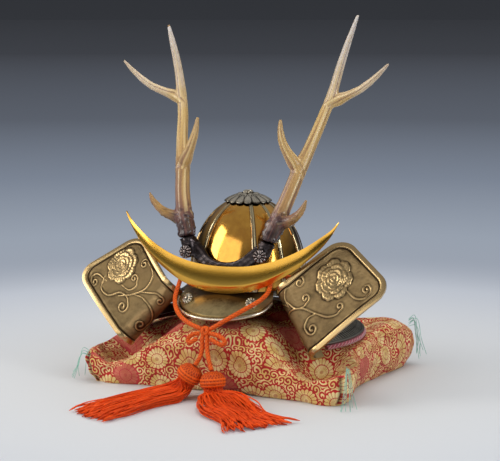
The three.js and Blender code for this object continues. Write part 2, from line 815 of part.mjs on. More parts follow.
const tasselTable = {
  // head middle and axis, then the two edges of the skirt from head to tips
  left: {
    head: [-10.4, -109.4, 21.6],
    axis: [-0.52, -0.1, -0.85],
    far: [[-18, -107, 18], [-29, -113, 9], [-42, -127, 5.4], [-54, -157, 4.8], [-66, -186, 3.6],
      [-71, -201, 1.6]],
    near: [[-9, -110, 16], [-7.6, -116.5, 7.5], [-12, -127, 4.8], [-22, -147, 4.4], [-33, -178, 3.4],
      [-46, -213, 1.6]],
  },
  right: {
    head: [11.4, -111.4, 18],
    axis: [0.12, -0.12, -0.98],
    far: [[17, -109.6, 12], [32, -113.5, 8], [49, -126, 5.4], [63, -143, 5], [80, -158, 4],
      [100, -163, 1.9]],
    near: [[8, -113, 12], [7.4, -126, 7], [16, -143, 5.2], [29.6, -161, 4.9], [50, -174, 3.9],
      [75, -200, 1.9]],
  },
};
const lockShares = [0, 0.25, 0.5, 0.75, 1];
const lockRadii = [4, 4.4, 4.3, 4.2, 3.3, 1.4];

function tassel(name) {
  const { head, axis, far, near } = tasselTable[name];
  const middle = vec(...head);
  const down = vec(...axis).normalize();
  const capRows = [[-7.4, 3.4], [-5.2, 8], [-1, tasselHeadRadius], [4, tasselHeadRadius], [6.6, 8.6]];
  const side = vec(0, 1, 0).cross(down).normalize();
  const front = down.clone().cross(side);
  const cap = loft(capRows.map(([d, r]) => Array.from({ length: 12 }, (_, i) => {
    const turn = (Math.PI * i) / 6;
    return middle.clone().addScaledVector(down, d)
      .addScaledVector(side, r * Math.cos(turn)).addScaledVector(front, r * Math.sin(turn));
  })));
  const locks = lockShares.map((share, i) => {
    const shorten = 1 - 0.05 * ((i * 2) % 3);
    const points = far.map((p, k) => {
      const at = vec(...p).lerp(vec(...near[k]), share);
      return k === far.length - 1 ? at.lerp(vec(...far[k - 1]).lerp(vec(...near[k - 1]), share),
        1 - shorten) : at;
    });
    return tube(points, lockRadii, 5);
  });
  return fuse([cap, ...locks]);
}

// Assembly

const finishes = {
  gilt: { color: 0xd8a53a, metalness: 0.9, roughness: 0.22 },
  antiqueBrass: { color: 0xa88b57, metalness: 0.85, roughness: 0.42 },
  silvered: { color: 0xcfc9ba, metalness: 0.9, roughness: 0.3 },
  bronze: { color: 0x2e2422, metalness: 0.7, roughness: 0.4 },
  antler: { color: 0xb98b4e, metalness: 0, roughness: 0.45 },
  steel: { color: 0x6c6c68, metalness: 0.8, roughness: 0.4 },
  brocade: { color: 0xb4283a, metalness: 0, roughness: 0.8 },
  cord: { color: 0xe0561c, metalness: 0, roughness: 0.75 },
  lacingRed: { color: 0xb02a3e, metalness: 0, roughness: 0.75 },
};

const pieces = [
  ['bowl', bowl(), 'gilt'],
  ['crown_finial', crownFinial(), 'antiqueBrass'],
  ['visor', visor(), 'antiqueBrass'],
  ['visor_rim', visorRim(), 'silvered'],
  ['visor_rivet_left', visorRivet(-1), 'silvered'],
  ['visor_rivet_right', visorRivet(1), 'silvered'],
  ['crescent', crescent(), 'gilt'],
  ['antler_yoke', antlerYoke(), 'bronze'],
  ['rosette_left', rosette(-1), 'bronze'],
  ['rosette_right', rosette(1), 'bronze'],
  ['antler_left', antler(-1), 'antler'],
  ['antler_right', antler(1), 'antler'],
  ['side_plate_right', sidePlate('right'), 'antiqueBrass'],
  ['side_plate_left', flipSide(sidePlate('left')), 'antiqueBrass'],
  ['neck_guard_upper', lame(lames[0]), 'steel'],
  ['neck_guard_middle', lame(lames[1]), 'steel'],
  ['neck_guard_lower', lame(lames[2]), 'steel'],
  ['neck_guard_lacing', lacing(), 'lacingRed'],
  ['cushion', cushion(), 'brocade'],
  ['cord_loop', cordTube(cordLoopRoute, 38), 'cord'],
  ['cord_knot', knot(), 'cord'],
  ['cord_bow_right', cordTube(bowRoute, 11), 'cord'],
  ['cord_bow_left', cordTube(bowRoute.map(bowMirror), 11), 'cord'],
  ['cord_end_left', cordTube(endRoutes.left, 5), 'cord'],
  ['cord_end_right', cordTube(endRoutes.right, 5), 'cord'],
  ['tassel_left', tassel('left'), 'cord'],
  ['tassel_right', tassel('right'), 'cord'],
];

const kabuto = new THREE.Group();
kabuto.name = 'kabuto';
pieces.forEach(([name, geometry, finish]) => {
  geometry.translate(frameShift.x, frameShift.y, 0);
  geometry.computeVertexNormals();
  const mesh = new THREE.Mesh(geometry, new THREE.MeshStandardMaterial(finishes[finish]));
  mesh.name = name;
  kabuto.add(mesh);
});

export default kabuto;
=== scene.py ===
import math
import random

import bmesh
import bpy
import numpy as np
from mathutils import Matrix, Vector
from mathutils.bvhtree import BVHTree


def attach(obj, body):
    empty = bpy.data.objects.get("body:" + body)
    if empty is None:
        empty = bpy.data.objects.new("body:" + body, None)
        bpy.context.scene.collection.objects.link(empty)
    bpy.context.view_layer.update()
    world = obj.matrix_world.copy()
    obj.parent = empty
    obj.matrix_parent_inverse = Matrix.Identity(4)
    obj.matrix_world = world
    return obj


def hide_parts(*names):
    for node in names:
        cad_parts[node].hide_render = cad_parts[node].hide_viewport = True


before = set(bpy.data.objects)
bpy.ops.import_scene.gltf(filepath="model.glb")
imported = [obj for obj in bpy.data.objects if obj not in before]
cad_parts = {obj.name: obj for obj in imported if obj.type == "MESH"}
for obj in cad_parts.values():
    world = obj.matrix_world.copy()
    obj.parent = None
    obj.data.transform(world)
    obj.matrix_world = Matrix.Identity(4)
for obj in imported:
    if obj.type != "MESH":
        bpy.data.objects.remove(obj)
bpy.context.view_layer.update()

scene = bpy.context.scene
frameShift = np.array([-2.55, -2.25, 0.0])   # the middle of the box over x = 0, y = 0

print("camera")

camera = {
    "place": (0.55155, -1.28255, 0.3217),
    "right": (0.9171, 0.3987, 0.0),
    "up": (-0.0538, 0.1237, 0.9909),
    "back": (0.3951, -0.9087, 0.1349),
    "lens": 111.74,
    "sensor": 36.0,
    "clip": (0.05, 80),
}
cameraData = bpy.data.cameras.new("camera")
cameraData.lens = camera["lens"]
cameraData.sensor_width = camera["sensor"]
cameraData.clip_start, cameraData.clip_end = camera["clip"]
cameraObject = bpy.data.objects.new("camera", cameraData)
scene.collection.objects.link(cameraObject)
turn = Matrix((camera["right"], camera["up"], camera["back"])).transposed()
cameraObject.matrix_world = Matrix.Translation(camera["place"]) @ turn.to_4x4()
scene.camera = cameraObject


# Small maths, all of it in millimetres before the shift to the frame

def unit(v):
    v = np.asarray(v, float)
    return v / np.maximum(np.linalg.norm(v, axis=-1, keepdims=True), 1e-9)


def mix(a, b, t):
    return a + (b - a) * t


def smooth(x, low, high):
    t = np.clip((np.asarray(x, float) - low) / (high - low), 0, 1)
    return t * t * (3 - 2 * t)


def bump(x, middle, width):
    return np.exp(-(((x - middle) / width) ** 2))


# A smooth run through the route's points, evenly spaced
def curvePoints(route, count):
    p = np.asarray(route, float)
    p = np.vstack([2 * p[0] - p[1], p, 2 * p[-1] - p[-2]])
    fine = []
    for i in range(1, len(p) - 2):
        a, b, c, d = p[i - 1:i + 3]
        t0 = max(np.linalg.norm(b - a), 1e-4) ** 0.5
        t1 = max(np.linalg.norm(c - b), 1e-4) ** 0.5
        t2 = max(np.linalg.norm(d - c), 1e-4) ** 0.5
        m1 = ((b - a) / t0 - (c - a) / (t0 + t1) + (c - b) / t1) * t1
        m2 = ((c - b) / t1 - (d - b) / (t1 + t2) + (d - c) / t2) * t1
        for s in np.linspace(0, 1, 24, endpoint=False):
            cubic, square = 2 * b - 2 * c + m1 + m2, -3 * b + 3 * c - 2 * m1 - m2
            fine.append(cubic * s ** 3 + square * s * s + m1 * s + b)
    fine.append(p[-2])
    fine = np.array(fine)
    run = np.concatenate([[0], np.cumsum(np.linalg.norm(np.diff(fine, axis=0), axis=1))])
    at = np.linspace(0, run[-1], count)
    return np.stack([np.interp(at, run, fine[:, k]) for k in range(3)], axis=1)


def lengthOf(points):
    return float(np.linalg.norm(np.diff(points, axis=0), axis=1).sum())


# Two sideways directions at each point, carried along without twist
def frames(points):
    along = unit(np.gradient(points, axis=0))
    side = np.zeros_like(along)
    start = np.array([0, 0, 1.0]) if abs(along[0][2]) < 0.9 else np.array([1.0, 0, 0])
    side[0] = unit(start - along[0] * start.dot(along[0]))
    for i in range(1, len(along)):
        v = side[i - 1] - along[i] * side[i - 1].dot(along[i])
        side[i] = unit(v)
    return side, np.cross(along, side)


# A mesh object from millimetre points, with a uv pair and named marks for each point
def addMesh(name, points, faces, uv=None, marks=None, sharp=50, outward=True):
    mesh = bpy.data.meshes.new(name)
    metres = (np.asarray(points, float) + frameShift) * 0.001
    mesh.from_pydata(metres.tolist(), [], [list(f) for f in faces])
    if uv is not None:
        layer = mesh.uv_layers.new(name="UVMap")
        index = np.zeros(len(mesh.loops), int)
        mesh.loops.foreach_get("vertex_index", index)
        layer.data.foreach_set("uv", np.asarray(uv, float)[index].ravel())
    for key, values in (marks or {}).items():
        mark = mesh.attributes.new(key, "FLOAT", "POINT")
        mark.data.foreach_set("value", np.asarray(values, float).ravel())
    if outward:
        work = bmesh.new()
        work.from_mesh(mesh)
        bmesh.ops.recalc_face_normals(work, faces=work.faces)
        work.to_mesh(mesh)
        work.free()
    mesh.shade_smooth()
    if sharp:
        mesh.set_sharp_from_angle(angle=math.radians(sharp))
    obj = bpy.data.objects.new(name, mesh)
    scene.collection.objects.link(obj)
    return obj


def gridFaces(rows, columns, closeRows=False, closeColumns=False, first=0, flip=False):
    i = np.arange(rows if closeRows else rows - 1)
    j = np.arange(columns if closeColumns else columns - 1)
    i, j = [a.ravel() for a in np.meshgrid(i, j, indexing="ij")]
    i2, j2 = (i + 1) % rows, (j + 1) % columns
    corners = [i * columns + j, i2 * columns + j, i2 * columns + j2, i * columns + j2]
    quad = np.stack(corners, axis=1) + first
    return quad[:, ::-1] if flip else quad


hiddenStep = 6   # a sheet's hidden side keeps every sixth row and column


# Two grids joined round their edges into one thin body
def sheetMesh(name, front, back, uv, marks=None, sharp=50):
    rows, columns = front.shape[:2]
    rowsKept = sorted({*range(0, rows, hiddenStep), rows - 1})
    columnsKept = sorted({*range(0, columns, hiddenStep), columns - 1})
    back = back[np.ix_(rowsKept, columnsKept)]
    count = rows * columns
    faces = gridFaces(rows, columns).tolist() + gridFaces(*back.shape[:2], first=count, flip=True).tolist()
    edge = [(i, 0) for i in range(rows)] + [(rows - 1, j) for j in range(1, columns)]
    edge += [(i, columns - 1) for i in range(rows - 2, -1, -1)] + [(0, j) for j in range(columns - 2, 0, -1)]
    edge.append(edge[0])
    strip = []
    for i, j in edge:
        strip.append((i, j))
        if len(strip) > 1 and i in rowsKept and j in columnsKept:
            ends = [count + rowsKept.index(r) * len(columnsKept) + columnsKept.index(c)
                    for r, c in (strip[-1], strip[0])]
            faces.append([r * columns + c for r, c in strip] + ends)
            strip = [(i, j)]
    hidden = np.ix_(rowsKept, columnsKept)
    both = {key: np.concatenate([values.ravel(), values[hidden].ravel() * 0])
            for key, values in (marks or {}).items()}
    points = np.concatenate([front.reshape(-1, 3), back.reshape(-1, 3)])
    allUv = np.concatenate([uv.reshape(-1, 2), uv[hidden].reshape(-1, 2)])
    return addMesh(name, points, faces, allUv, both, sharp)


# A tube of rings with its ends filled
def ringMesh(name, rings, uvScale=(1, 1), marks=None, sharp=50):
    count, sides = rings.shape[:2]
    faces = gridFaces(count, sides, False, True).tolist()
    faces += [list(range(sides))[::-1], [(count - 1) * sides + j for j in range(sides)]]
    u, v = np.meshgrid(np.arange(count) * uvScale[0], np.arange(sides) * uvScale[1], indexing="ij")
    return addMesh(name, rings.reshape(-1, 3), faces, np.stack([u, v], -1).reshape(-1, 2), marks, sharp)


def tubeRings(points, radii, sides):
    side, other = frames(points)
    turn = np.linspace(0, 2 * np.pi, sides, endpoint=False)
    radii = np.broadcast_to(np.asarray(radii, float).reshape(len(points), -1), (len(points), sides))
    return points[:, None] + radii[..., None] * (
        side[:, None] * np.cos(turn)[None, :, None] + other[:, None] * np.sin(turn)[None, :, None])


# One object made of several, which keep their materials
def joinObjects(name, objects):
    with bpy.context.temp_override(active_object=objects[0], selected_editable_objects=objects,
                                   selected_objects=objects, object=objects[0]):
        bpy.ops.object.join()
    objects[0].name = name
    objects[0].data.name = name
    return objects[0]


def dress(obj, material, slotName, *nodes):
    obj.data.materials.clear()
    obj.data.materials.append(material)
    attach(obj, "root")
    if nodes:
        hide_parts(*nodes)
    return obj


# Materials

def startMaterial(name):
    material = bpy.data.materials.new(name)
    material.use_nodes = True
    tree = material.node_tree
    tree.nodes.clear()
    out = tree.nodes.new("ShaderNodeOutputMaterial")
    shader = tree.nodes.new("ShaderNodeBsdfPrincipled")
    tree.links.new(shader.outputs[0], out.inputs[0])
    return material, tree, shader


# A node with its settings; inputs are given by name, or by number as i0, i1 and so on
def addNode(tree, kind, settings=None, **inputs):
    node = tree.nodes.new(kind)
    for key, value in (settings or {}).items():
        setattr(node, key, value)
    for key, value in inputs.items():
        isIndex = key[0] == "i" and key[1:].isdigit()
        socket = node.inputs[int(key[1:]) if isIndex else key.replace("_", " ")]
        if isinstance(value, bpy.types.NodeSocket):
            tree.links.new(value, socket)
        else:
            socket.default_value = value
    return node


def sumOf(tree, operation, a, b=0.0, c=0.0, clamp=False):
    node = addNode(tree, "ShaderNodeMath", {"operation": operation, "use_clamp": clamp}, i0=a, i1=b, i2=c)
    return node.outputs[0]


def blendOf(tree, factor, a, b):
    node = addNode(tree, "ShaderNodeMix", {"data_type": "RGBA"})
    for index, value in ((0, factor), (6, a), (7, b)):
        if isinstance(value, bpy.types.NodeSocket):
            tree.links.new(value, node.inputs[index])
        else:
            node.inputs[index].default_value = value if index == 0 else (*value, 1)
    return node.outputs[2]


def rangeOf(tree, value, low, high, toLow=0.0, toHigh=1.0):
    node = addNode(tree, "ShaderNodeMapRange", {"interpolation_type": "SMOOTHSTEP"},
                   i0=value, i1=low, i2=high, i3=toLow, i4=toHigh)
    return node.outputs[0]


def markOf(tree, name):
    return addNode(tree, "ShaderNodeAttribute", {"attribute_name": name}).outputs["Fac"]


def placeOf(tree, kind="Object"):
    return addNode(tree, "ShaderNodeTexCoord").outputs[kind]


def fillRamp(ramp, steps):
    elements = ramp.color_ramp.elements
    while len(elements) < len(steps):
        elements.new(1.0)
    for (place, color), element in zip(steps, elements):
        element.position = place
        element.color = (*color, 1)


def startGroup(name, inputs, outputs):
    group = bpy.data.node_groups.new(name, "ShaderNodeTree")
    for label, kind, default in inputs:
        socket = group.interface.new_socket(name=label, in_out="INPUT", socket_type=kind)
        if default is not None:
            socket.default_value = default
    for label, kind in outputs:
        group.interface.new_socket(name=label, in_out="OUTPUT", socket_type=kind)
    source = group.nodes.new("NodeGroupInput")
    sink = group.nodes.new("NodeGroupOutput")
    return group, source.outputs, sink.inputs


def useGroup(tree, group, **inputs):
    node = tree.nodes.new("ShaderNodeGroup")
    node.node_tree = group
    for key, value in inputs.items():
        socket = node.inputs[key]
        if isinstance(value, bpy.types.NodeSocket):
            tree.links.new(value, socket)
        else:
            socket.default_value = value
    return node.outputs


print("shared effects")

number = "NodeSocketFloat"

# Tarnish: a blotchy mask in metres, with finer specks in it
tarnish, given, result = startGroup("tarnish", [("size", number, 60.0), ("amount", number, 0.5)],
                                    [("mask", number), ("specks", number)])
place = placeOf(tarnish)
broad = addNode(tarnish, "ShaderNodeTexNoise", None, Vector=place, Scale=given["size"], Detail=5.0,
                Roughness=0.6).outputs[0]
fineSize = sumOf(tarnish, "MULTIPLY", given["size"], 9.0)
fine = addNode(tarnish, "ShaderNodeTexNoise", None, Vector=place, Scale=fineSize, Detail=3.0).outputs[0]
fineShare = sumOf(tarnish, "MULTIPLY", fine, 0.2)
blotches = sumOf(tarnish, "ADD", sumOf(tarnish, "MULTIPLY", broad, 0.8), fineShare)
mask = rangeOf(tarnish, blotches, 0.4, 0.66)
tarnish.links.new(sumOf(tarnish, "MULTIPLY", mask, given["amount"]), result["mask"])
tarnish.links.new(rangeOf(tarnish, fine, 0.58, 0.72), result["specks"])

# Grain: a fine random height for cast or brushed metal
grainGiven = [("size", number, 900.0), ("stretch", "NodeSocketVector", (1, 1, 1))]
grain, given, result = startGroup("grain", grainGiven, [("height", number)])
stretched = addNode(grain, "ShaderNodeVectorMath", {"operation": "MULTIPLY"}, i0=placeOf(grain),
                    i1=given["stretch"]).outputs[0]
noise = addNode(grain, "ShaderNodeTexNoise", None, Vector=stretched, Scale=given["size"], Detail=2.0)
grain.links.new(noise.outputs[0], result["height"])

# Weave: crossing threads over the uv map, which is in millimetres
weave, given, result = startGroup("weave", [("pitch", number, 0.6)], [("height", number), ("across", number)])
cloth = addNode(weave, "ShaderNodeSeparateXYZ", None, i0=placeOf(weave, "UV")).outputs
turnScale = sumOf(weave, "DIVIDE", 6.2832, given["pitch"])
warp = sumOf(weave, "SINE", sumOf(weave, "MULTIPLY", cloth[0], turnScale))
slant = sumOf(weave, "ADD", cloth[1], sumOf(weave, "MULTIPLY", cloth[0], 0.5))
weft = sumOf(weave, "SINE", sumOf(weave, "MULTIPLY", slant, turnScale))
weave.links.new(sumOf(weave, "MAXIMUM", warp, weft), result["height"])
weave.links.new(weft, result["across"])


def bumpNormal(tree, height, strength, distance, normal=None):
    node = addNode(tree, "ShaderNodeBump", None, Strength=strength, Distance=distance, Height=height)
    if normal is not None:
        tree.links.new(normal, node.inputs["Normal"])
    return node.outputs[0]


hatchPitch = 1.5   # mm between the crossing lines cut into a ground


# Bright metal with a dark patina in its hollows, by the marks cavity and relief; on the visor the cavity mark
# is painted shade, and on the side plates it adds painted shade along the fold
def metal(name, bright, dark, rough, darkRough, tarnishSize=45.0, tarnishAmount=0.5, cavity=None, relief=None,
          bumpDepth=0.00004, grainSize=1400.0, hatch=0.0, coat=0.0):
    material, tree, shader = startMaterial(name)
    spots = useGroup(tree, tarnish, size=tarnishSize, amount=tarnishAmount)
    dirt = spots["mask"]
    lines = None
    if hatch:
        cloth = addNode(tree, "ShaderNodeSeparateXYZ", None, i0=placeOf(tree, "UV")).outputs
        turnScale = 6.2832 / hatchPitch
        rising, falling = sumOf(tree, "ADD", cloth[0], cloth[1]), sumOf(tree, "SUBTRACT", cloth[0], cloth[1])
        one = sumOf(tree, "SINE", sumOf(tree, "MULTIPLY", rising, turnScale))
        other = sumOf(tree, "SINE", sumOf(tree, "MULTIPLY", falling, turnScale))
        lines = sumOf(tree, "MULTIPLY", sumOf(tree, "MULTIPLY_ADD", other, 0.6, one), markOf(tree, "ground"))
        dirt = sumOf(tree, "SUBTRACT", dirt, sumOf(tree, "MULTIPLY", lines, 0.16), clamp=True)
    if cavity:
        dirt = sumOf(tree, "ADD", sumOf(tree, "MULTIPLY", dirt, 0.55), markOf(tree, cavity), clamp=True)
    if relief:
        dirt = sumOf(tree, "SUBTRACT", dirt, sumOf(tree, "MULTIPLY", markOf(tree, relief), 0.8), clamp=True)
    color = blendOf(tree, dirt, bright, dark)
    tree.links.new(color, shader.inputs["Base Color"])
    shader.inputs["Metallic"].default_value = 1.0
    roughness = addNode(tree, "ShaderNodeMapRange", None, i0=dirt, i1=0.0, i2=1.0, i3=rough,
                        i4=darkRough).outputs[0]
    tree.links.new(roughness, shader.inputs["Roughness"])
    height = useGroup(tree, grain, size=grainSize, stretch=(1, 1, 1))["height"]
    normal = bumpNormal(tree, height, 1.0, bumpDepth)
    if hatch:
        normal = bumpNormal(tree, lines, 0.8, hatch, normal)
    tree.links.new(normal, shader.inputs["Normal"])
    shader.inputs["Coat Weight"].default_value = coat
    shader.inputs["Coat Roughness"].default_value = 0.05
    return material


materials = {
    "crescentGilt": metal("crescentGilt", (0.72, 0.4, 0.06), (0.58, 0.3, 0.038), 0.17, 0.22, 22.0, 0.3,
                          bumpDepth=0.000006, coat=0.2),
    "brass": metal("brass", (0.55, 0.385, 0.18), (0.05, 0.03, 0.015), 0.27, 0.48, 30.0, 0.85,
                   cavity="cavity", relief="relief", hatch=0.00016),
    # the visor's dark colour is both its tarnish and the painted shadow that its cavity mark lays at the root
    "visorGold": metal("visorGold", (0.62, 0.47, 0.22), (0.09, 0.055, 0.025), 0.3, 0.46, 55.0, 0.8,
                       cavity="cavity", bumpDepth=0.00009, grainSize=1100.0),
    "silver": metal("silver", (0.78, 0.71, 0.56), (0.03, 0.023, 0.016), 0.26, 0.42, 120.0, 0.7,
                    cavity="cavity"),
    "bronze": metal("bronze", (0.09, 0.075, 0.075), (0.025, 0.018, 0.018), 0.26, 0.4, 90.0, 0.7,
                    cavity="cavity", bumpDepth=0.00012, grainSize=600.0),
    "rosetteBronze": metal("rosetteBronze", (0.3, 0.25, 0.23), (0.018, 0.012, 0.013), 0.2, 0.42, 120.0, 0.5,
                           cavity="cavity"),
}


# Silk coloured from bright to dark by random blotches and by an optional mark; on the cord, strands and
# tassel heads that mark carries painted shade
def silkMaterial(name, bright, dark, markName=None, roughness=0.55, sheen=0.5, tint=(1, 0.5, 0.3)):
    material, tree, shader = startMaterial(name)
    spots = useGroup(tree, tarnish, size=260.0, amount=0.6)
    tone = spots["mask"]
    if markName:
        tone = sumOf(tree, "ADD", sumOf(tree, "MULTIPLY", tone, 0.4), markOf(tree, markName), clamp=True)
    tree.links.new(blendOf(tree, tone, bright, dark), shader.inputs["Base Color"])
    shader.inputs["Roughness"].default_value = roughness
    shader.inputs["Sheen Weight"].default_value = sheen
    shader.inputs["Sheen Roughness"].default_value = 0.35
    shader.inputs["Sheen Tint"].default_value = (*tint, 1)
    shader.inputs["Specular IOR Level"].default_value = 0.25
    height = useGroup(tree, grain, size=2600.0, stretch=(1, 1, 1))["height"]
    tree.links.new(bumpNormal(tree, height, 0.6, 0.00012), shader.inputs["Normal"])
    return material


# their dark colours paint the shade given by the cavity marks, mixed with random blotches
materials["cord"] = silkMaterial("cord", (0.9, 0.135, 0.008), (0.3, 0.024, 0.002), "cavity", 0.55, 0.06)
materials["strands"] = silkMaterial("strands", (0.95, 0.1, 0.005), (0.45, 0.028, 0.003), "cavity", 0.55, 0.04)

print("cord")

braid = {"diameter": 4.0, "sides": 20, "step": 0.5, "pitch": 6.4, "strands": 4, "depth": 0.26}


# A round braid of a 4 mm cord: two families of strands that pass over and under each other
def braidedTube(name, route):
    rough = curvePoints(route, 200)
    count = max(int(lengthOf(rough) / braid["step"]), 12)
    points = curvePoints(route, count)
    run = np.linspace(0, lengthOf(points), count)[:, None]
    turn = np.linspace(0, 2 * np.pi, braid["sides"], endpoint=False)[None]
    n = braid["strands"]
    a = n * turn + 2 * np.pi * run / braid["pitch"] * 2
    b = n * turn - 2 * np.pi * run / braid["pitch"] * 2
    isFirst = np.cos((a + b) / 2) * np.cos((a - b) / 2) > 0
    over = np.where(isFirst, np.abs(np.cos(a / 2)), np.abs(np.cos(b / 2)))
    height = np.clip(over, 0, 1) ** 0.7
    radius = braid["diameter"] / 2 - braid["depth"] * (1 - height)
    rings = tubeRings(points, radius, braid["sides"])
    # painted shade: the cavity mark darkens each strand where it dips under its neighbours
    obj = ringMesh(name, rings, (0.42, 0.45), {"cavity": (1 - height).ravel() * 0.9}, sharp=0)
    return obj, points


cordLoopRoute = [
    (-5.7, -98, 58.7), (-16, -96.8, 61.6), (-28.5, -91, 66.6), (-38.5, -80.6, 73), (-43.2, -71.5, 80),
    (-42.6, -65.2, 90), (-42.3, -59.4, 98.5), (-47, -45, 100), (-54.4, -27, 94), (-57, -8, 87.4),
    (-50.4, 17.8, 86.4), (-29.4, 38.6, 86.4), (0, 47.1, 86.4), (29.4, 38.6, 86.4), (50.4, 17.8, 86.4),
    (57, -8, 87.4), (54.4, -27, 94), (47, -45, 100), (43.4, -58.4, 98.5), (44, -66, 90),
    (41.6, -77.6, 84), (33.4, -88.4, 78), (20.4, -95.6, 69.8), (9.6, -98, 63), (3, -98.2, 59.1),
]
bowRoute = [
    (3.2, -99.6, 55.6), (9.4, -101, 55.2), (15.8, -102, 53.2), (19.2, -103, 49.6), (16.2, -103.8, 47.6),
    (10.8, -103.4, 49.2), (5.2, -102.2, 51.6),
]
endRoutes = {
    "left": [(-3.4, -100.2, 52.2), (-2.6, -102.6, 43), (-3.2, -105.4, 36), (-6.3, -108.8, 29)],
    "right": [(1, -100, 52.6), (2.6, -103.4, 43), (5.4, -107, 35), (10.1, -111.3, 26.6)],
}
knotCentre = np.array([-1.5, -98.2, 57])

cordLoop, loopPoints = braidedTube("cordLoop", cordLoopRoute)
dress(cordLoop, materials["cord"], "cord", "cord_loop")


def knotTurn(tilt, size, thick):
    points = []
    for t in np.linspace(0, 2 * np.pi, 10, endpoint=False):
        x, y, z = size * math.cos(t), thick * math.sin(t), size * 0.86 * math.sin(t)
        turned = [x * math.cos(tilt) + z * math.sin(tilt), y, -x * math.sin(tilt) + z * math.cos(tilt)]
        points.append(knotCentre + np.array(turned))
    return points + points[:2]


knotParts = [
    braidedTube("knotTurn", knotTurn(0.5, 2.7, 1.6))[0],
    braidedTube("knotTurn", knotTurn(2.1, 2.6, -1.6))[0],
    braidedTube("bow", bowRoute)[0],
    braidedTube("bow", [(-6.7 - (x - 4.4) * 0.62, y - 0.4, z - 0.6) for x, y, z in bowRoute])[0],
    braidedTube("end", [tuple(knotCentre + [-0.6, 0.3, -2])] + endRoutes["left"])[0],
    braidedTube("end", [tuple(knotCentre + [0.8, 0.3, -2])] + endRoutes["right"])[0],
]
cordKnot = joinObjects("cordKnot", knotParts)
dress(cordKnot, materials["cord"], "cord", "cord_knot", "cord_bow_right", "cord_bow_left", "cord_end_left",
      "cord_end_right")

print("bowl")

bowl = {
    "radius": 52.5, "rise": 78, "roundness": 2.1, "wall": 2.4, "bottom": 86, "middleY": -10, "hole": 4,
    "ribs": 12, "ribWidth": 4.8, "ribTopWidth": 2.6, "ribRise": 1.1,
    "around": 528, "upward": 56, "topShare": 0.965, "coarse": 4,
}


def domeHeight(r):
    fall = (np.minimum(r, bowl["radius"]) / bowl["radius"]) ** bowl["roundness"]
    return bowl["rise"] * np.clip(1 - fall, 0, 1) ** (1 / bowl["roundness"])


# The dome with its riveted ribs outside; the inner wall keeps every fourth point upward
def makeBowl():
    angles = np.linspace(0, 2 * np.pi, bowl["around"], endpoint=False)
    shares = np.linspace(0, bowl["topShare"], bowl["upward"])
    k, s = np.meshgrid(angles, shares, indexing="ij")
    turn = s * np.pi / 2
    r = bowl["radius"] * np.cos(turn) ** (2 / bowl["roundness"])
    z = bowl["bottom"] + bowl["rise"] * np.sin(turn) ** (2 / bowl["roundness"])
    half = mix(bowl["ribWidth"], bowl["ribTopWidth"], s) / 2
    step = 2 * np.pi / bowl["ribs"]
    nearest = np.round(k / step)
    fromRib = np.abs(k - nearest * step) * np.maximum(r, 6)
    isRib = (nearest % bowl["ribs"]) != 0
    t = np.where(isRib, fromRib / half, 9)
    strip = 1 - smooth(t, 0.86, 1.0)
    twin = bump(t, 0.62, 0.24)
    lift = bowl["ribRise"] * (strip * 0.55 + twin * strip * 0.45) * (1 - s ** 6)
    groove = bump(t, 1.18, 0.22) * 0.25
    r = r + lift - groove * (1 - s)
    x, y = r * np.sin(k), bowl["middleY"] - r * np.cos(k)
    outer = np.stack([x, y, z], -1)
    innerTurn = turn[:, ::bowl["coarse"]][:, ::-1]
    innerAngle = k[:, ::bowl["coarse"]]
    ri = (bowl["radius"] - bowl["wall"]) * np.cos(innerTurn) ** (2 / bowl["roundness"])
    zi = bowl["bottom"] + (bowl["rise"] - bowl["wall"]) * np.sin(innerTurn) ** (2 / bowl["roundness"])
    inner = np.stack([ri * np.sin(innerAngle), bowl["middleY"] - ri * np.cos(innerAngle), zi], -1)
    rings = np.concatenate([outer, inner], axis=1)
    rib = np.concatenate([strip, inner[..., 0] * 0], axis=1)
    besideRib = np.clip(bump(t, 1.05, 0.22) + bump(t, 0.05, 0.28) * 0.5, 0, 1) * np.where(isRib, 1, 0)
    cavity = np.concatenate([besideRib, inner[..., 0] * 0 + 0.5], axis=1)
    faces = gridFaces(*rings.shape[:2], True, True)
    return addMesh("bowl", rings.reshape(-1, 3), faces, None, {"rib": rib, "cavity": cavity})


def bowlMaterial():
    material, tree, shader = startMaterial("bowlGilt")
    rib = markOf(tree, "rib")
    cavity = markOf(tree, "cavity")
    spots = useGroup(tree, tarnish, size=26.0, amount=1.0)
    worn = sumOf(tree, "MULTIPLY", spots["mask"], 0.6)
    panel = blendOf(tree, worn, (0.85, 0.44, 0.065), (0.52, 0.2, 0.022))
    panel = blendOf(tree, sumOf(tree, "MULTIPLY", cavity, 0.8), panel, (0.09, 0.045, 0.015))
    band = blendOf(tree, cavity, (0.74, 0.62, 0.36), (0.1, 0.06, 0.025))
    tree.links.new(blendOf(tree, rib, panel, band), shader.inputs["Base Color"])
    shader.inputs["Metallic"].default_value = 1.0
    dull = sumOf(tree, "ADD", rib, sumOf(tree, "MULTIPLY", spots["specks"], 0.3))
    tree.links.new(rangeOf(tree, dull, 0.0, 1.0, 0.13, 0.27), shader.inputs["Roughness"])
    height = useGroup(tree, grain, size=700.0, stretch=(1, 1, 1))["height"]
    tree.links.new(bumpNormal(tree, height, 0.8, 0.00002), shader.inputs["Normal"])
    shader.inputs["Coat Weight"].default_value = 0.5
    shader.inputs["Coat Roughness"].default_value = 0.08
    return material


dress(makeBowl(), bowlMaterial(), "gilt", "bowl")

print("crown finial")

finial = {
    "radius": 21.4, "rings": 72, "columns": 256, "lift": 0.55,
    # each tier: petals, inner and outer share of the radius, low and high in mm, turn
    "tiers": [(16, 0.52, 1.02, 0.5, 1.9, 0.0), (32, 0.46, 0.6, 1.2, 2.2, 0.4),
              (8, 0.2, 0.5, 1.6, 3.4, 0.3), (8, 0.02, 0.24, 3.0, 5.6, 0.0)],
}


# The bowl's top as the finial sits on it
def seatHeight(r):
    ribs = bowl["ribRise"] * smooth(r, bowl["hole"], finial["radius"] * 0.6)
    return bowl["bottom"] + domeHeight(r) + ribs + finial["lift"]


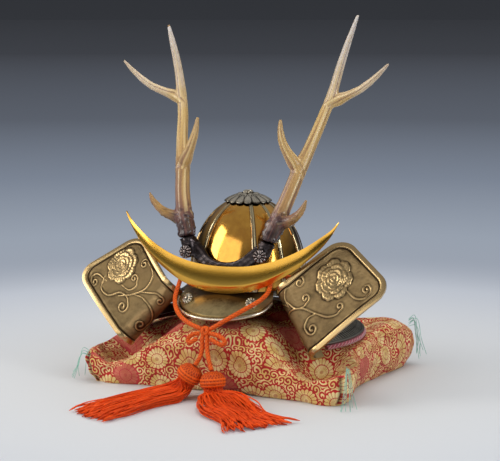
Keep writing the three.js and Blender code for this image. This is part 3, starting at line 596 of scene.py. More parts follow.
# Height of one ring of rounded petals, below zero outside it
def petalRing(r, turn, petals, inner, outer, low, high, phase):
    lobe = np.abs(np.cos(petals * turn / 2 + phase))
    reach = outer * (1 - 0.13 * (1 - lobe ** 0.5))
    along = (r - inner) / np.maximum(reach - inner, 1e-3)
    inside = (along < 1) & (r > inner * 0.8)
    crown = np.sqrt(np.clip(1 - np.clip(along, 0, 1) ** 4, 0, 1))
    height = low + (high - low) * crown * (0.35 + 0.65 * lobe ** 0.8)
    return np.where(inside, height, -9)


def makeFinial():
    rim = finial["radius"]
    turn = np.linspace(0, 2 * np.pi, finial["columns"], endpoint=False)
    share = np.linspace(0.0, 1.0, finial["rings"]) ** 0.9
    t, s = np.meshgrid(turn, share, indexing="ij")
    edge = 1 - 0.11 * (1 - np.abs(np.cos(8 * t)) ** 0.5)
    r = s * rim * edge
    h = np.full_like(r, 0.25)
    for tier in finial["tiers"]:
        h = np.maximum(h, petalRing(r / rim, t, *tier))
    h = h + 0.18 * np.cos(48 * t) * bump(r / rim, 0.8, 0.12)
    smoothH = h.copy()
    for _ in range(2):
        smoothH = (np.roll(smoothH, 1, 0) + np.roll(smoothH, -1, 0) + 2 * smoothH) / 4
    blur = smoothH.copy()
    for _ in range(14):
        pad = np.pad(blur, ((0, 0), (1, 1)), mode="edge")
        blur = (np.roll(blur, 1, 0) + np.roll(blur, -1, 0) + pad[:, 2:] + pad[:, :-2]) / 4
    cavity = np.clip((blur - smoothH) * 2.6 + 0.2, 0, 1)
    z = seatHeight(r) + smoothH
    top = np.stack([r * np.sin(t), bowl["middleY"] - r * np.cos(t), z], -1)
    under = top[:, ::-3].copy()
    ru = np.linalg.norm(under[..., :2] - [0, bowl["middleY"]], axis=-1)
    under[..., 2] = seatHeight(ru) + 0.02
    rings = np.concatenate([top, under], axis=1)
    cavity = np.concatenate([cavity, under[..., 0] * 0 + 0.6], axis=1)
    faces = gridFaces(*rings.shape[:2], True, True)
    return addMesh("crownFinial", rings.reshape(-1, 3), faces, None, {"cavity": cavity}, 60)


dress(makeFinial(), materials["silver"], "silvered", "crown_finial")

print("visor")

visor = {
    "reach": 44.6, "wall": 1.8, "share": 0.9, "rimRadius": 1.5, "rimSides": 16, "rimSteps": 160,
    "across": 121, "outward": 41, "rivetRadius": 5.4, "rivetPetals": 12,
    "rosetteRadius": 6.1, "rosettePetals": 10, "rosettePlace": (35.6, -66.6, 119.5),
    "bossHeight": 2.4, "bossFoot": 1.6,
    # half of the rim, from the left end to the middle, as y, z and x
    "rim": [(-60.5, 78, -44.6), (-72, 72.6, -40.5), (-82.8, 69.9, -31.5), (-90.6, 67.7, -18),
            (-93.4, 66.8, 0)],
}


# The rim's points for side from -1 to 1
def visorRimAt(side):
    rows = visor["rim"] + [(y, z, -x) for y, z, x in visor["rim"][-2::-1]]
    route = [(x, y, z) for y, z, x in rows]
    fine = curvePoints(route, 400)
    x = side * visor["reach"]
    return np.stack([x, np.interp(x, fine[:, 0], fine[:, 1]), np.interp(x, fine[:, 0], fine[:, 2])], -1)


# The visor plate between the bowl's edge and the rim
def visorAt(side, out, lift):
    rim = visorRimAt(side)
    turn = np.arcsin(rim[..., 0] / visor["reach"] * 0.76)
    root = bowl["radius"] - 0.5
    under = np.full_like(turn, bowl["bottom"] - 0.5)
    top = np.stack([root * np.sin(turn), bowl["middleY"] - root * np.cos(turn), under], -1)
    p = top + (rim - top) * out[..., None]
    p[..., 2] += 3.4 * np.sin(np.pi * out) * (1 - 0.4 * out) * (1 - 0.5 * side * side) + lift
    return p


def makeVisor():
    sides, steps = np.linspace(-1, 1, visor["across"]), np.linspace(0, 1, visor["outward"])
    side, out = np.meshgrid(sides, steps, indexing="ij")
    out = out * (visor["share"] - 0.07 * side ** 4)
    front = visorAt(side, out, 0)
    back = visorAt(side, out, -visor["wall"])
    # painted shadow: the visor darkens towards the bowl, most in the middle, standing in for the crescent's
    # shadow and dark reflection
    marks = {"cavity": (1 - smooth(out, 0.25, 0.8)) * (1 - 0.5 * side ** 2)}
    return sheetMesh("visor", front, back, np.stack([side * 44, out * 40], -1), marks)


dress(makeVisor(), materials["visorGold"], "antique_brass", "visor")
rimPoints = visorRimAt(np.linspace(-1, 1, visor["rimSteps"])) - [0, 0, 0.4]
rimRadii = np.full(visor["rimSteps"], visor["rimRadius"] - 0.04)
clean = {"cavity": np.zeros(visor["rimSteps"] * visor["rimSides"])}
visorRim = ringMesh("visorRim", tubeRings(rimPoints, rimRadii, visor["rimSides"]), marks=clean)
dress(visorRim, materials["silver"], "silvered", "visor_rim")


# A round chrysanthemum boss of ribbed petals with a domed heart
def flowerBoss(name, centre, facing, radius, petals, height):
    facing = unit(facing)
    across = unit(np.cross([0, 0, 1.0], facing))
    high = np.cross(facing, across)
    turn = np.linspace(0, 2 * np.pi, petals * 10, endpoint=False)
    share = np.linspace(0, 1, 26)
    t, s = np.meshgrid(turn, share, indexing="ij")
    lobe = np.abs(np.cos(petals * t / 2))
    edge = 1 - 0.14 * (1 - lobe ** 0.6)
    r = s * radius * edge
    heartEdge = 0.3
    petal = (0.25 + 0.75 * lobe ** 0.7) * np.sqrt(np.clip(1 - s ** 5, 0, 1)) * 0.72
    heart = 0.75 + 0.4 * np.sqrt(np.clip(1 - (s / heartEdge) ** 2, 0, 1))
    h = np.maximum(np.where(s > heartEdge, petal, 0), np.where(s < heartEdge, heart, 0)) * height
    cavity = np.clip((1 - lobe ** 0.5) * (s > heartEdge) + bump(s, 0.31, 0.05), 0, 1)
    flat = (r * np.cos(t))[..., None] * across + (r * np.sin(t))[..., None] * high
    top = centre + flat + h[..., None] * facing
    foot = centre + flat[:, ::-6] * 0.94 - facing * visor["bossFoot"]
    rings = np.concatenate([top, foot], axis=1)
    marks = {"cavity": np.concatenate([cavity, foot[..., 0] * 0], axis=1)}
    return addMesh(name, rings.reshape(-1, 3), gridFaces(*rings.shape[:2], True, True), None, marks, 60)


for side, name in ((-1, "left"), (1, "right")):
    facing = unit([side * 0.3, -0.8, 0.52])
    foot = visorAt(np.array([side * 0.7]), np.array([0.6]), 0)[0] + facing * 2.6
    boss = flowerBoss("visorRivet_" + name, foot, facing, visor["rivetRadius"], visor["rivetPetals"],
                      visor["bossHeight"])
    dress(boss, materials["silver"], "silvered", "visor_rivet_" + name)
    place = np.array(visor["rosettePlace"]) * [side, 1, 1]
    facing = [side * 0.1, -0.97, 0.16]
    boss = flowerBoss("rosette_" + name, place, facing, visor["rosetteRadius"], visor["rosettePetals"],
                      visor["bossHeight"])
    dress(boss, materials["rosetteBronze"], "bronze", "rosette_" + name)

print("crescent")

crescent = {
    "span": 102, "depth": 3.6, "frontY": -69.4, "sweep": 18, "steps": 321,
    # share of the half span, then the heights of lower edge, ridge and upper edge
    "rows": [(0, 84.7, 91.6, 108.7), (0.13, 85.7, 92.4, 109.1), (0.26, 88.4, 94.8, 110.5),
             (0.4, 93.4, 99.1, 113.7), (0.54, 101.2, 105.9, 118.4), (0.7, 112.2, 115.5, 126.3),
             (0.84, 125, 127.3, 135.7), (0.94, 138, 139.2, 143.6), (1, 149.2, 149.6, 150.8)],
}


# One column of a table of the right half, read smoothly from end to end
def smoothTable(rows, column, at):
    rows = np.array(rows, float)
    keys = np.concatenate([-rows[:0:-1, 0], rows[:, 0]])
    values = np.concatenate([rows[:0:-1, column], rows[:, column]])
    fine = curvePoints(np.stack([keys * 100, values, values * 0], 1), 900)
    return np.interp(at, fine[:, 0] / 100, fine[:, 1])


def makeCrescent():
    share = np.linspace(-1, 1, crescent["steps"])
    s = np.abs(share)
    low, ridge, high = (smoothTable(crescent["rows"], k, share) for k in (1, 2, 3))
    y = crescent["frontY"] + crescent["sweep"] * s ** 2.6
    deep = crescent["depth"] * (1 - 0.66 * s ** 3)
    bend = 2.6 * crescent["sweep"] * s ** 1.6 * np.sign(share) / crescent["span"]
    x = share * crescent["span"]
    section = []
    for t in np.linspace(0, 1, 16):   # upper face, swelling gently from the edge to the ridge
        out = deep * (0.02 + 0.5 * (1 - t) ** 1.7)
        section.append((out, mix(high, ridge, t)))
    for t in np.linspace(0.08, 1, 8):   # lower bevel
        section.append((deep * (0.02 + 0.55 * t ** 1.1), mix(ridge, low, t)))
    section.append((deep, mix(low, ridge, 0.3)))
    section.append((deep, mix(ridge, high, 0.9)))
    section.append((deep * 0.75, mix(ridge, high, 0.985)))
    rings = np.stack([np.stack([x - out * bend * 0.6, y + out, z], -1) for out, z in section], axis=1)
    return ringMesh("crescent", rings, sharp=24)


dress(makeCrescent(), materials["crescentGilt"], "gilt", "crescent")

print("side plates")

plate = {
    "wall": 2.4, "fold": 12, "rim": 4.6, "rimRise": 0.9, "corner": 17, "back": 5, "bulge": 2.6,
    "returnWay": (0.554, 0.823, 0.113), "across": 200, "along": 216, "vineHeight": 0.7, "vineWidth": 0.78,
    "corners": {
        "left": [(47.6, -59, 85.4), (88, -79.7, 36.4), (92.4, -24.8, 125.6), (148, -51.9, 91)],
        "right": [(47.6, -59, 90), (88.4, -79.7, 38), (97, -24.8, 134), (153, -51.9, 97.4)],
    },
    # each scroll: stem points as share and height, then its curl's middle, radius in mm and turns
    "scrolls": {
        "left": [
            ([(0.69, 0.46), (0.51, 0.34), (0.31, 0.27), (0.14, 0.32), (0.1, 0.43)], (0.16, 0.51), 4.8, -1.3),
            ([(0.57, 0.52), (0.52, 0.41), (0.41, 0.38)], (0.38, 0.47), 4.2, -1.2),
            ([(0.7, 0.78), (0.83, 0.69), (0.8, 0.56), (0.64, 0.47), (0.6, 0.36)], (0.72, 0.33), 6.2, 1.2),
            ([(0.72, 0.72), (0.78, 0.88), (0.85, 0.9)], (0.86, 0.82), 4.4, -1.2),
            ([(0.51, 0.34), (0.42, 0.2), (0.46, 0.03), (0.58, -0.06)], (0.7, 0.02), 6.4, 1.2),
            ([(0.42, 0.3), (0.32, 0.21), (0.24, 0.12)], (0.29, 0.04), 4.4, 1.1),
        ],
        "right": [
            ([(0.63, 0.67), (0.8, 0.72), (0.87, 0.8)], (0.79, 0.85), 5.2, 1.3),
            ([(0.6, 0.29), (0.74, 0.38), (0.8, 0.48)], (0.74, 0.54), 3.8, 1.1),
            ([(0.32, 0.07), (0.17, 0.08), (0.05, 0.2)], (0.14, 0.29), 5.6, -1.3),
            ([(0.25, 0.08), (0.38, 0.13), (0.43, 0.22)], (0.36, 0.27), 4.4, 1.2),
            ([(0.31, 0.07), (0.24, 0.02), (0.2, -0.04)], (0.25, -0.07), 3.6, 1.1),
            ([(0.61, 0.3), (0.59, 0.2), (0.66, 0.13)], (0.73, 0.19), 5.6, 1.2),
            ([(0.74, 0.38), (0.6, 0.29), (0.42, 0.18), (0.37, 0.04), (0.43, -0.06), (0.6, -0.09)],
             (0.74, -0.03), 6.0, 1.2),
        ],
    },
    # the peony's middle as share and height, and its radius
    "peony": {"left": (0.43, 0.72, 16.4), "right": (0.41, 0.61, 17.6)},
    # its layers from outside: scale, petals, turn, low and high in mm
    "layers": [(1.0, 7, 0.0, 0.1, 1.2), (0.74, 5, 0.5, 0.5, 1.8), (0.52, 5, 1.4, 0.9, 2.3),
               (0.32, 4, 0.9, 1.4, 2.6), (0.15, 3, 0.3, 2.0, 2.7)],
}


# The fold's frame at each share of the fold line
def plateFrames(name, share):
    inner, outer, top, tip = [np.array(c, float) for c in plate["corners"][name]]
    line = outer - inner
    length = np.linalg.norm(line)
    axis = line / length
    share = np.asarray(share, float)[:, None]
    edge = (top - inner) + ((tip - outer) - (top - inner)) * share
    slide = edge @ axis
    rise = edge - slide[:, None] * axis
    riseLength = np.linalg.norm(rise, axis=1)
    up = unit(rise)
    way = np.array(plate["returnWay"])
    back = unit(way - axis * way.dot(axis))[None].repeat(len(share), 0)
    inward = unit(up + back)
    upNormal = np.cross(axis, up)
    backNormal = -np.cross(axis, back)
    dot = (upNormal * inward).sum(1)
    half = np.arccos(np.clip(-dot, -1, 1))
    turnSide = unit(upNormal - dot[:, None] * inward)
    centre = inner + line * share + inward * plate["fold"]
    return {"up": up, "back": back, "inward": inward, "upNormal": upNormal, "backNormal": backNormal,
            "half": half, "turnSide": turnSide, "centre": centre, "length": riseLength - plate["fold"] * 0.9,
            "slide": slide / riseLength, "axis": axis, "foldLength": length}


# Points of one plate: rows follow the frames, columns the way over the fold to the free edge
def platePoints(f, along, lift):
    e = lambda key: f[key][:, None]
    fold = plate["fold"]
    half = f["half"][:, None]
    arc = 2 * half * fold
    out = (fold + lift)[..., None]
    first = e("centre") + e("backNormal") * out + e("back") * (plate["back"] - along)[..., None]
    turn = (along - plate["back"]) / fold - half
    ahead, aside = np.cos(turn)[..., None] * out, np.sin(turn)[..., None] * out
    second = e("centre") - e("inward") * ahead + e("turnSide") * aside
    rise = along - plate["back"] - arc
    swell = plate["bulge"] * np.sin(np.pi * np.clip(rise / f["length"][:, None], 0, 1))
    third = e("centre") + e("upNormal") * (out + swell[..., None]) + e("up") * rise[..., None] \
        + f["axis"] * (f["slide"][:, None] * rise)[..., None]
    inFirst = (along < plate["back"])[..., None]
    inSecond = (along < plate["back"] + arc)[..., None]
    return np.where(inFirst, first, np.where(inSecond, second, third))


# A stem that runs into a tightening curl, as points in the plate's own millimetres
def curlPath(stem, middle, radius, turns, toPlane):
    points = [toPlane(*p) for p in stem]
    centre = toPlane(*middle)
    start = math.atan2(*(points[-1] - centre)[::-1]) + (0.5 if turns > 0 else -0.5)
    for t in np.linspace(0, 1, 16):
        a = start + 2 * math.pi * turns * t
        points.append(centre + radius * (1 - 0.78 * t ** 0.85) * np.array([math.cos(a), math.sin(a)]))
    flat = curvePoints([(p[0], p[1], 0) for p in points], 240)[:, :2]
    width = np.interp(np.linspace(0, 1, 240), [0, 0.25, 0.9, 1], [0.35, 1, 0.85, 1.25])
    return flat, width


# Distance to a curve in widths, where the curve is near
def nearCurve(u, v, flat, width):
    best = np.full(u.shape, 9.0)
    low, high = flat.min(0) - 4, flat.max(0) + 4
    box = (u > low[0]) & (u < high[0]) & (v > low[1]) & (v < high[1])
    pu, pv = u[box], v[box]
    if len(pu) == 0:
        return best
    near = np.full(len(pu), 9.0)
    for k in range(0, len(flat), 40):
        part = slice(k, k + 40)
        d = np.hypot(pu[:, None] - flat[part, 0], pv[:, None] - flat[part, 1]) / width[part]
        near = np.minimum(near, d.min(1))
    best[box] = near
    return best


# Layers of ribbed petals, each standing on the one outside it
def peonyHeight(u, v, centre, radius):
    du, dv = u - centre[0], v - centre[1]
    r, t = np.hypot(du, dv), np.arctan2(dv, du)
    h = np.zeros_like(u)
    for scale, petals, phase, low, high in plate["layers"]:
        lobe = np.abs(np.cos(petals * t / 2 + phase))
        reach = radius * scale * (1 - 0.16 * (1 - lobe ** 0.6) + 0.014 * np.sin(petals * 3 * t + phase * 9))
        s = r / reach
        ribs = 0.06 * np.cos(petals * 5 * t + phase) * smooth(s, 0.2, 0.7)
        edge = 1 - smooth(s, 0.93, 1.03)
        petal = (low + (high - low) * s ** 1.8 * (0.55 + 0.45 * lobe) + ribs) * edge
        h = np.maximum(h, petal)
    return h


def blurred(h, times):
    for _ in range(times):
        p = np.pad(h, 1, mode="edge")
        h = (p[2:, 1:-1] + p[:-2, 1:-1] + p[1:-1, 2:] + p[1:-1, :-2] + 2 * h) / 6
    return h


def makePlate(name, mirror):
    rows, columns = plate["across"], plate["along"]
    share = np.linspace(0, 1, rows)
    f = plateFrames(name, share)
    length = f["foldLength"]
    corner = plate["corner"]
    reach = np.minimum(share, 1 - share) * length * 1.06
    bow = corner - np.sqrt(np.clip(corner ** 2 - (corner - reach) ** 2, 0, None))
    cut = np.where(reach < corner, bow, 0)
    end = plate["back"] + 2 * f["half"] * plate["fold"] + f["length"] - cut
    base = plate["back"] + f["half"] * plate["fold"]
    t = np.linspace(0, 1, columns)
    along = t[None] * end[:, None]
    u = (share * length)[:, None] + along * 0
    v = along - base[:, None]
    middle = base[rows // 2]
    tall = end[rows // 2] - middle

    def toPlane(s, h):
        return np.array([s * length, h * tall])

    fromSide = np.minimum(u, length - u)
    fromFlat = (end + cut)[:, None] - along
    inX = np.maximum(corner - fromSide, 0)
    inY = np.maximum(corner - fromFlat, 0)
    edge = np.where((inX > 0) & (inY > 0), corner - np.hypot(inX, inY), np.minimum(fromSide, fromFlat))
    rim = 1 - smooth(edge, plate["rim"] - 0.5, plate["rim"] + 0.35)
    groove = bump(edge, plate["rim"] + 0.9, 0.55)
    bead = bump(edge, plate["rim"] + 2.3, 0.5) * 0.3
    relief = np.zeros_like(u)
    for stem, at, radius, turns in plate["scrolls"][name]:
        flat, width = curlPath(stem, at, radius, turns, toPlane)
        d = nearCurve(u, v, flat, width)
        vine = plate["vineHeight"] * np.sqrt(np.clip(1 - (d / plate["vineWidth"]) ** 2, 0, 1))
        relief = np.maximum(relief, vine)
    s, h, radius = plate["peony"][name]
    flower = peonyHeight(u, v, toPlane(s, h), radius)
    relief = np.maximum(relief, flower) * smooth(edge, plate["rim"] + 1, plate["rim"] + 3)
    relief = blurred(relief, 1)
    rng = np.random.default_rng(7 if mirror else 11)
    dents = blurred(rng.normal(0, 1, u.shape), 30)
    dents = dents / np.abs(dents).max() * 0.14
    rimForm = plate["rimRise"] * (0.75 + 0.25 * np.sin(np.clip(edge / plate["rim"], 0, 1) * np.pi))
    lift = rim * rimForm + relief + bead - groove * 0.3 + dents * (1 - rim)
    front = platePoints(f, along, lift)
    back = platePoints(f, along, -plate["wall"] + 0 * lift)
    height = relief + rim * 1.2
    hollows = np.clip((blurred(height, 18) - height) * 3.4, 0, 1)
    cavity = hollows + groove * 0.5 + 0.14 * (1 - rim) * (1 - np.clip(relief * 2, 0, 1))
    marks = {
        # the band along the fold is painted shade where the plate turns under; the rest of the mark is patina
        # round the relief and dirt in the ground
        "cavity": np.clip(cavity + bump(v, plate["fold"] * 0.2, 12) * 0.22, 0, 1),
        "relief": np.clip(relief / 3.4 + rim * 0.9, 0, 1),
        "ground": (1 - rim) * (1 - np.clip(relief * 3, 0, 1)),
    }
    if mirror:
        front[..., 0] *= -1
        back[..., 0] *= -1
    uv = np.stack([u, v], -1)
    return sheetMesh("sidePlate_" + name, front, back, uv, marks, 60)


for name in ("left", "right"):
    dress(makePlate(name, name == "left"), materials["brass"], "antique_brass", "side_plate_" + name)

print("neck guard")

guard = {
    "wall": 1.7, "lap": 0.4, "topZ": 85.7, "names": ["upper", "middle", "lower"], "scaleStep": 4.0,
    # radius above and below, drop, and the angle where each row starts above and below
    "rows": [(52.4, 76.5, 14.7, 60, 60), (74.4, 92, 11.4, 60.1, 60), (89.8, 105.5, 11.7, 60.4, 60.2)],
    "around": 570, "downward": 31, "lacingAround": 780, "lacingSides": 28, "lacingPitch": 5.2,
    # the lacing's section, out from and above the lowest edge
    "section": [(-3.1, -1.4), (0.1, -1.6), (1.5, -3.4), (0.3, -5.2), (-2.7, -4.8)],
}
kozane = metal("kozane", (0.3, 0.28, 0.22), (0.016, 0.013, 0.011), 0.3, 0.5, 70.0, 0.5,
               cavity="cavity", relief="relief")


# One row of the guard from its upper edge down; puts out the object and where the next row lies under it
def makeRow(row, name, topZ):
    topR, lowR, drop, topStart, lowStart = row
    slope = drop / (lowR - topR)
    across, down = np.linspace(0, 1, guard["around"]), np.linspace(0, 1, guard["downward"])
    turns, t = np.meshgrid(across, down, indexing="ij")
    start = mix(topStart, lowStart, t)
    angle = np.radians(start + (360 - 2 * start) * turns)
    way = unit(np.array([lowR - topR, -drop]))
    out = np.array([-way[1], way[0]])
    radius = mix(topR, lowR, t)
    wave = angle * lowR / guard["scaleStep"] * 2 * np.pi
    scales = np.abs(np.cos(wave / 2)) ** 0.7
    bodyZone = smooth(t, 0.08, 0.16) * (1 - smooth(t, 0.8, 0.86))
    rimZone = smooth(t, 0.91, 0.93)
    rowLines = bump(t, 0.34, 0.02) + bump(t, 0.58, 0.02)
    lift = 0.5 * scales * bodyZone + rimZone * 0.35 - 0.25 * rowLines * bodyZone - 0.5
    flare = -1.2 * np.sin(np.pi * t)

    def at(lift):
        r = radius + out[0] * (lift + flare)
        z = mix(topZ, topZ - drop, t) + out[1] * (lift + flare)
        return np.stack([r * np.sin(angle), bowl["middleY"] - r * np.cos(angle), z], -1)

    dark = (1 - scales) * bodyZone * 1.1 + bump(t, 0.885, 0.02) + rowLines * 0.6 * bodyZone
    marks = {"cavity": np.clip(dark, 0, 1), "relief": rimZone}
    uv = np.stack([angle * radius, t * 20], -1)
    obj = sheetMesh("neckGuard_" + name, at(lift), at(-guard["wall"] + 0 * lift), uv, marks, 60)

    def under(r):
        return topZ - drop + (lowR - r) * slope - (guard["wall"] + guard["lap"]) * math.hypot(1, slope)

    return obj, under


topZ = guard["topZ"]
for k, (row, name) in enumerate(zip(guard["rows"], guard["names"])):
    obj, under = makeRow(row, name, topZ)
    dress(obj, kozane, "steel", "neck_guard_" + name)
    lowEdge = (row[1], topZ - row[2], row[4])
    if k + 1 < len(guard["rows"]):
        topZ = under(guard["rows"][k + 1][0])


# The lacing wound round a soft core under the lowest edge
def makeLacing():
    lowR, lowZ, lowStart = lowEdge
    start = lowStart + 3.4
    sides = guard["lacingSides"]
    angles = np.radians(np.linspace(start, 360 - start, guard["lacingAround"]))
    corners = np.array(guard["section"] + guard["section"][:1])
    corner = np.linspace(0, 5, sides, endpoint=False)
    section = np.stack([np.interp(corner, range(6), corners[:, k]) for k in (0, 1)], 1)
    for _ in range(2):
        section = (np.roll(section, 1, 0) + 2 * section + np.roll(section, -1, 0)) / 4
    a, s = np.meshgrid(angles, np.arange(sides) / sides, indexing="ij")
    wind = a * lowR / guard["lacingPitch"] * np.pi + s * 2 * np.pi * 2
    diagonal = np.abs(np.sin(wind))
    lift = 0.3 * diagonal ** 0.6 - 0.1
    middle = section.mean(0)
    away = unit(section - middle)
    ring = section[None] + away[None] * lift[..., None]
    r = lowR + ring[..., 0]
    rings = np.stack([r * np.sin(a), bowl["middleY"] - r * np.cos(a), lowZ + ring[..., 1]], -1)
    # painted highlight: thin pale streaks on the outward crest of each winding
    white = smooth(np.abs(np.sin(wind + 0.6)), 0.965, 0.99) * (bump(s, 0.42, 0.2) > 0.3)
    # painted shade: the cavity mark darkens the valleys between the windings
    marks = {"white": white.ravel(), "cavity": (1 - diagonal).ravel()}
    return ringMesh("neckGuardLacing", rings, marks=marks)


def lacingMaterial():
    material, tree, shader = startMaterial("lacing")
    # the darker red paints the shade in the valleys between windings
    color = blendOf(tree, markOf(tree, "cavity"), (0.42, 0.018, 0.04), (0.12, 0.005, 0.012))
    # the pale pink colour paints the highlight on the winding crests
    color = blendOf(tree, markOf(tree, "white"), color, (0.75, 0.55, 0.55))
    tree.links.new(color, shader.inputs["Base Color"])
    shader.inputs["Roughness"].default_value = 0.6
    shader.inputs["Sheen Weight"].default_value = 0.4
    height = useGroup(tree, grain, size=2200.0, stretch=(1, 1, 1))["height"]
    tree.links.new(bumpNormal(tree, height, 0.6, 0.0001), shader.inputs["Normal"])
    return material


dress(makeLacing(), lacingMaterial(), "lacing", "neck_guard_lacing")

print("antlers")


# A copy of one solid, without the marks that the frame keeps on it
def copyNode(node, name):
    source = bpy.data.objects[node]
    obj = bpy.data.objects.new(name, source.data.copy())
    scene.collection.objects.link(obj)
    for key in list(obj.data.keys()):
        del obj.data[key]
    return obj


# The same form in even small faces, with its facets rubbed smooth
def remeshed(obj, size, rounds):
    cut = obj.modifiers.new("remesh", "REMESH")
    cut.mode = "VOXEL"
    cut.voxel_size = size
    soft = obj.modifiers.new("smooth", "SMOOTH")
    soft.factor = 0.5
    soft.iterations = rounds
    mesh = bpy.data.meshes.new_from_object(obj.evaluated_get(bpy.context.evaluated_depsgraph_get()))
    obj.modifiers.clear()
    obj.data = mesh
    mesh.name = obj.name
    return obj


def pointsOf(mesh):
    p = np.zeros(len(mesh.vertices) * 3)
    mesh.vertices.foreach_get("co", p)
    return p.reshape(-1, 3)


def normalsOf(mesh):
    n = np.zeros(len(mesh.vertices) * 3)
    mesh.vertices.foreach_get("normal", n)
    return n.reshape(-1, 3)


def setPoints(mesh, points):
    mesh.vertices.foreach_set("co", points.ravel())
    mesh.update()


def setMark(mesh, key, values):
    mark = mesh.attributes.get(key) or mesh.attributes.new(key, "FLOAT", "POINT")
    mark.data.foreach_set("value", np.asarray(values, float).ravel())


antler = {
    "beam": [(38.6, -55.8, 131.6), (40.6, -53.6, 137.6), (43.5, -50.7, 144.8), (46.8, -46.2, 155),
             (50.5, -40.8, 167), (56, -29, 189.4), (62.8, -16, 213.1), (69, -0.8, 238.5), (74.2, 6.4, 257.6),
             (80.2, 10.6, 282.4), (86, 12.6, 301.5)],
    "tips": {"left": (91, 14.9, 316.6), "right": (93.6, 16.4, 325.4)},
    "tines": [
        [(43, -48.6, 146.5), (50.2, -48.4, 147.2), (56.6, -51.2, 149.2), (63.4, -54.8, 153), (70.4, -57, 160),
         (75, -57.8, 169.2)],
        [(56.4, -28.4, 187), (52.3, -30.4, 197.6), (46, -33.2, 208.6), (41.2, -33.4, 221.4),
         (39.9, -30.9, 235.4)],
        [(71.4, 3.4, 247), (80, 7.4, 251.8), (90.6, 3.4, 256), (102.4, 0, 261.4), (116.4, -1.4, 271.8),
         (128.6, -2.4, 283.8)],
    ],
    "voxel": 0.0009, "rubs": 14, "swell": 0.3, "web": 1.5, "webReach": 7.0, "knobs": 90,
    # the grooves: how many round, depth, drift along the antler and start
    "grooves": [(5, 0.5, 0.016, 0.2), (8, 0.42, -0.02, 1.9), (13, 0.3, 0.03, 4.1), (21, 0.16, 0.05, 2.2),
                (34, 0.09, 0.07, 0.7)],
    # the colours by height, from the dark root up to pale tips
    "tones": [(0.0, (0.014, 0.008, 0.01)), (0.1, (0.13, 0.055, 0.045)), (0.15, (0.42, 0.23, 0.09)),
              (0.32, (0.58, 0.36, 0.125)), (0.6, (0.64, 0.42, 0.15)), (1.0, (1, 1, 1)),
              (1.0, (0.48, 0.29, 0.12))],
}


# The horn: each point is given its nearest line, and grooves and knobs run along and round that line
def makeAntler(name, side):
    obj = remeshed(copyNode("antler_" + name, "antler_" + name + "_horn"), antler["voxel"], antler["rubs"])
    mesh = obj.data
    at = pointsOf(mesh) * 1000 - frameShift
    normal = normalsOf(mesh)
    lines = [antler["beam"] + [antler["tips"][name]]] + antler["tines"]
    bestD = np.full(len(at), 1e9)
    turnAt, shareAt, runAt, lineAt = [np.zeros(len(at)) for _ in range(4)]
    for k, line in enumerate(lines):
        path = curvePoints([(side * x, y, z) for x, y, z in line], 90)
        sideways, other = frames(path)
        for i in range(0, len(at), 8000):
            part = slice(i, i + 8000)
            d = np.linalg.norm(at[part, None] - path[None], axis=2)
            j = d.argmin(1)
            near = d[np.arange(len(j)), j] + (1.0 if k == 0 else 0)
            away = at[part] - path[j]
            angle = np.arctan2((away * other[j]).sum(1), (away * sideways[j]).sum(1))
            closer = near < bestD[part]
            bestD[part] = np.where(closer, near, bestD[part])
            turnAt[part] = np.where(closer, angle, turnAt[part])
            lineAt[part] = np.where(closer, k, lineAt[part])
            shareAt[part] = np.where(closer, j / 89, shareAt[part])
            runAt[part] = np.where(closer, j / 89 * lengthOf(path) + k * 37, runAt[part])
    tone = (at[:, 2] - 130) / 190
    grooves = np.zeros(len(at))
    for count, size, drift, phase in antler["grooves"]:
        waver = 0.8 * np.sin(runAt * 0.05 + phase * 3)
        grooves += size * np.sin(count * turnAt + phase + drift * runAt + waver)
    tip = smooth(shareAt, 0.6, 0.97)
    depth = (0.26 - 0.16 * tip) * (0.6 + 0.4 * (1 - np.clip(tone, 0, 1)))
    knobs = np.zeros(len(at))
    rng = random.Random(5 + side)
    burrZone = 1 - smooth(at[:, 2], 146, 170)
    web = np.zeros(len(at))
    for tine in antler["tines"]:
        fork = np.array(tine[1]) * [side, 1, 1]
        web += np.exp(-(np.linalg.norm(at - fork, axis=1) / antler["webReach"]) ** 2)
    for _ in range(antler["knobs"]):
        z = 132 + 34 * rng.random() ** 1.6
        a = rng.uniform(-math.pi, math.pi)
        d = np.hypot((at[:, 2] - z) * 0.8, ((turnAt - a + np.pi) % (2 * np.pi) - np.pi) * 7)
        knobs += rng.uniform(0.5, 1.0) * np.exp(-(d / rng.uniform(0.9, 1.6)) ** 2)
    lift = grooves * depth * (1 - 0.5 * burrZone) + np.minimum(knobs, 1.3) * burrZone
    lift += antler["swell"] * smooth(at[:, 2], 135, 150) + antler["web"] * web
    setPoints(mesh, (at + normal * lift[:, None] + frameShift) * 0.001)
    setMark(mesh, "tone", np.clip(tone, 0, 1))
    setMark(mesh, "tip", tip)
    setMark(mesh, "ridge", np.clip(0.5 + grooves * 0.5, 0, 1))
    setMark(mesh, "knobs", np.clip(knobs, 0, 1) * burrZone)
    setMark(mesh, "tine", np.where(lineAt > 0, smooth(shareAt, 0.2, 0.5), 0))
    setMark(mesh, "shadeSide", smooth(-normal[:, 0], -0.15, 0.55) * (1 - smooth(at[:, 2], 176, 222)))
    mesh.shade_smooth()
    return obj


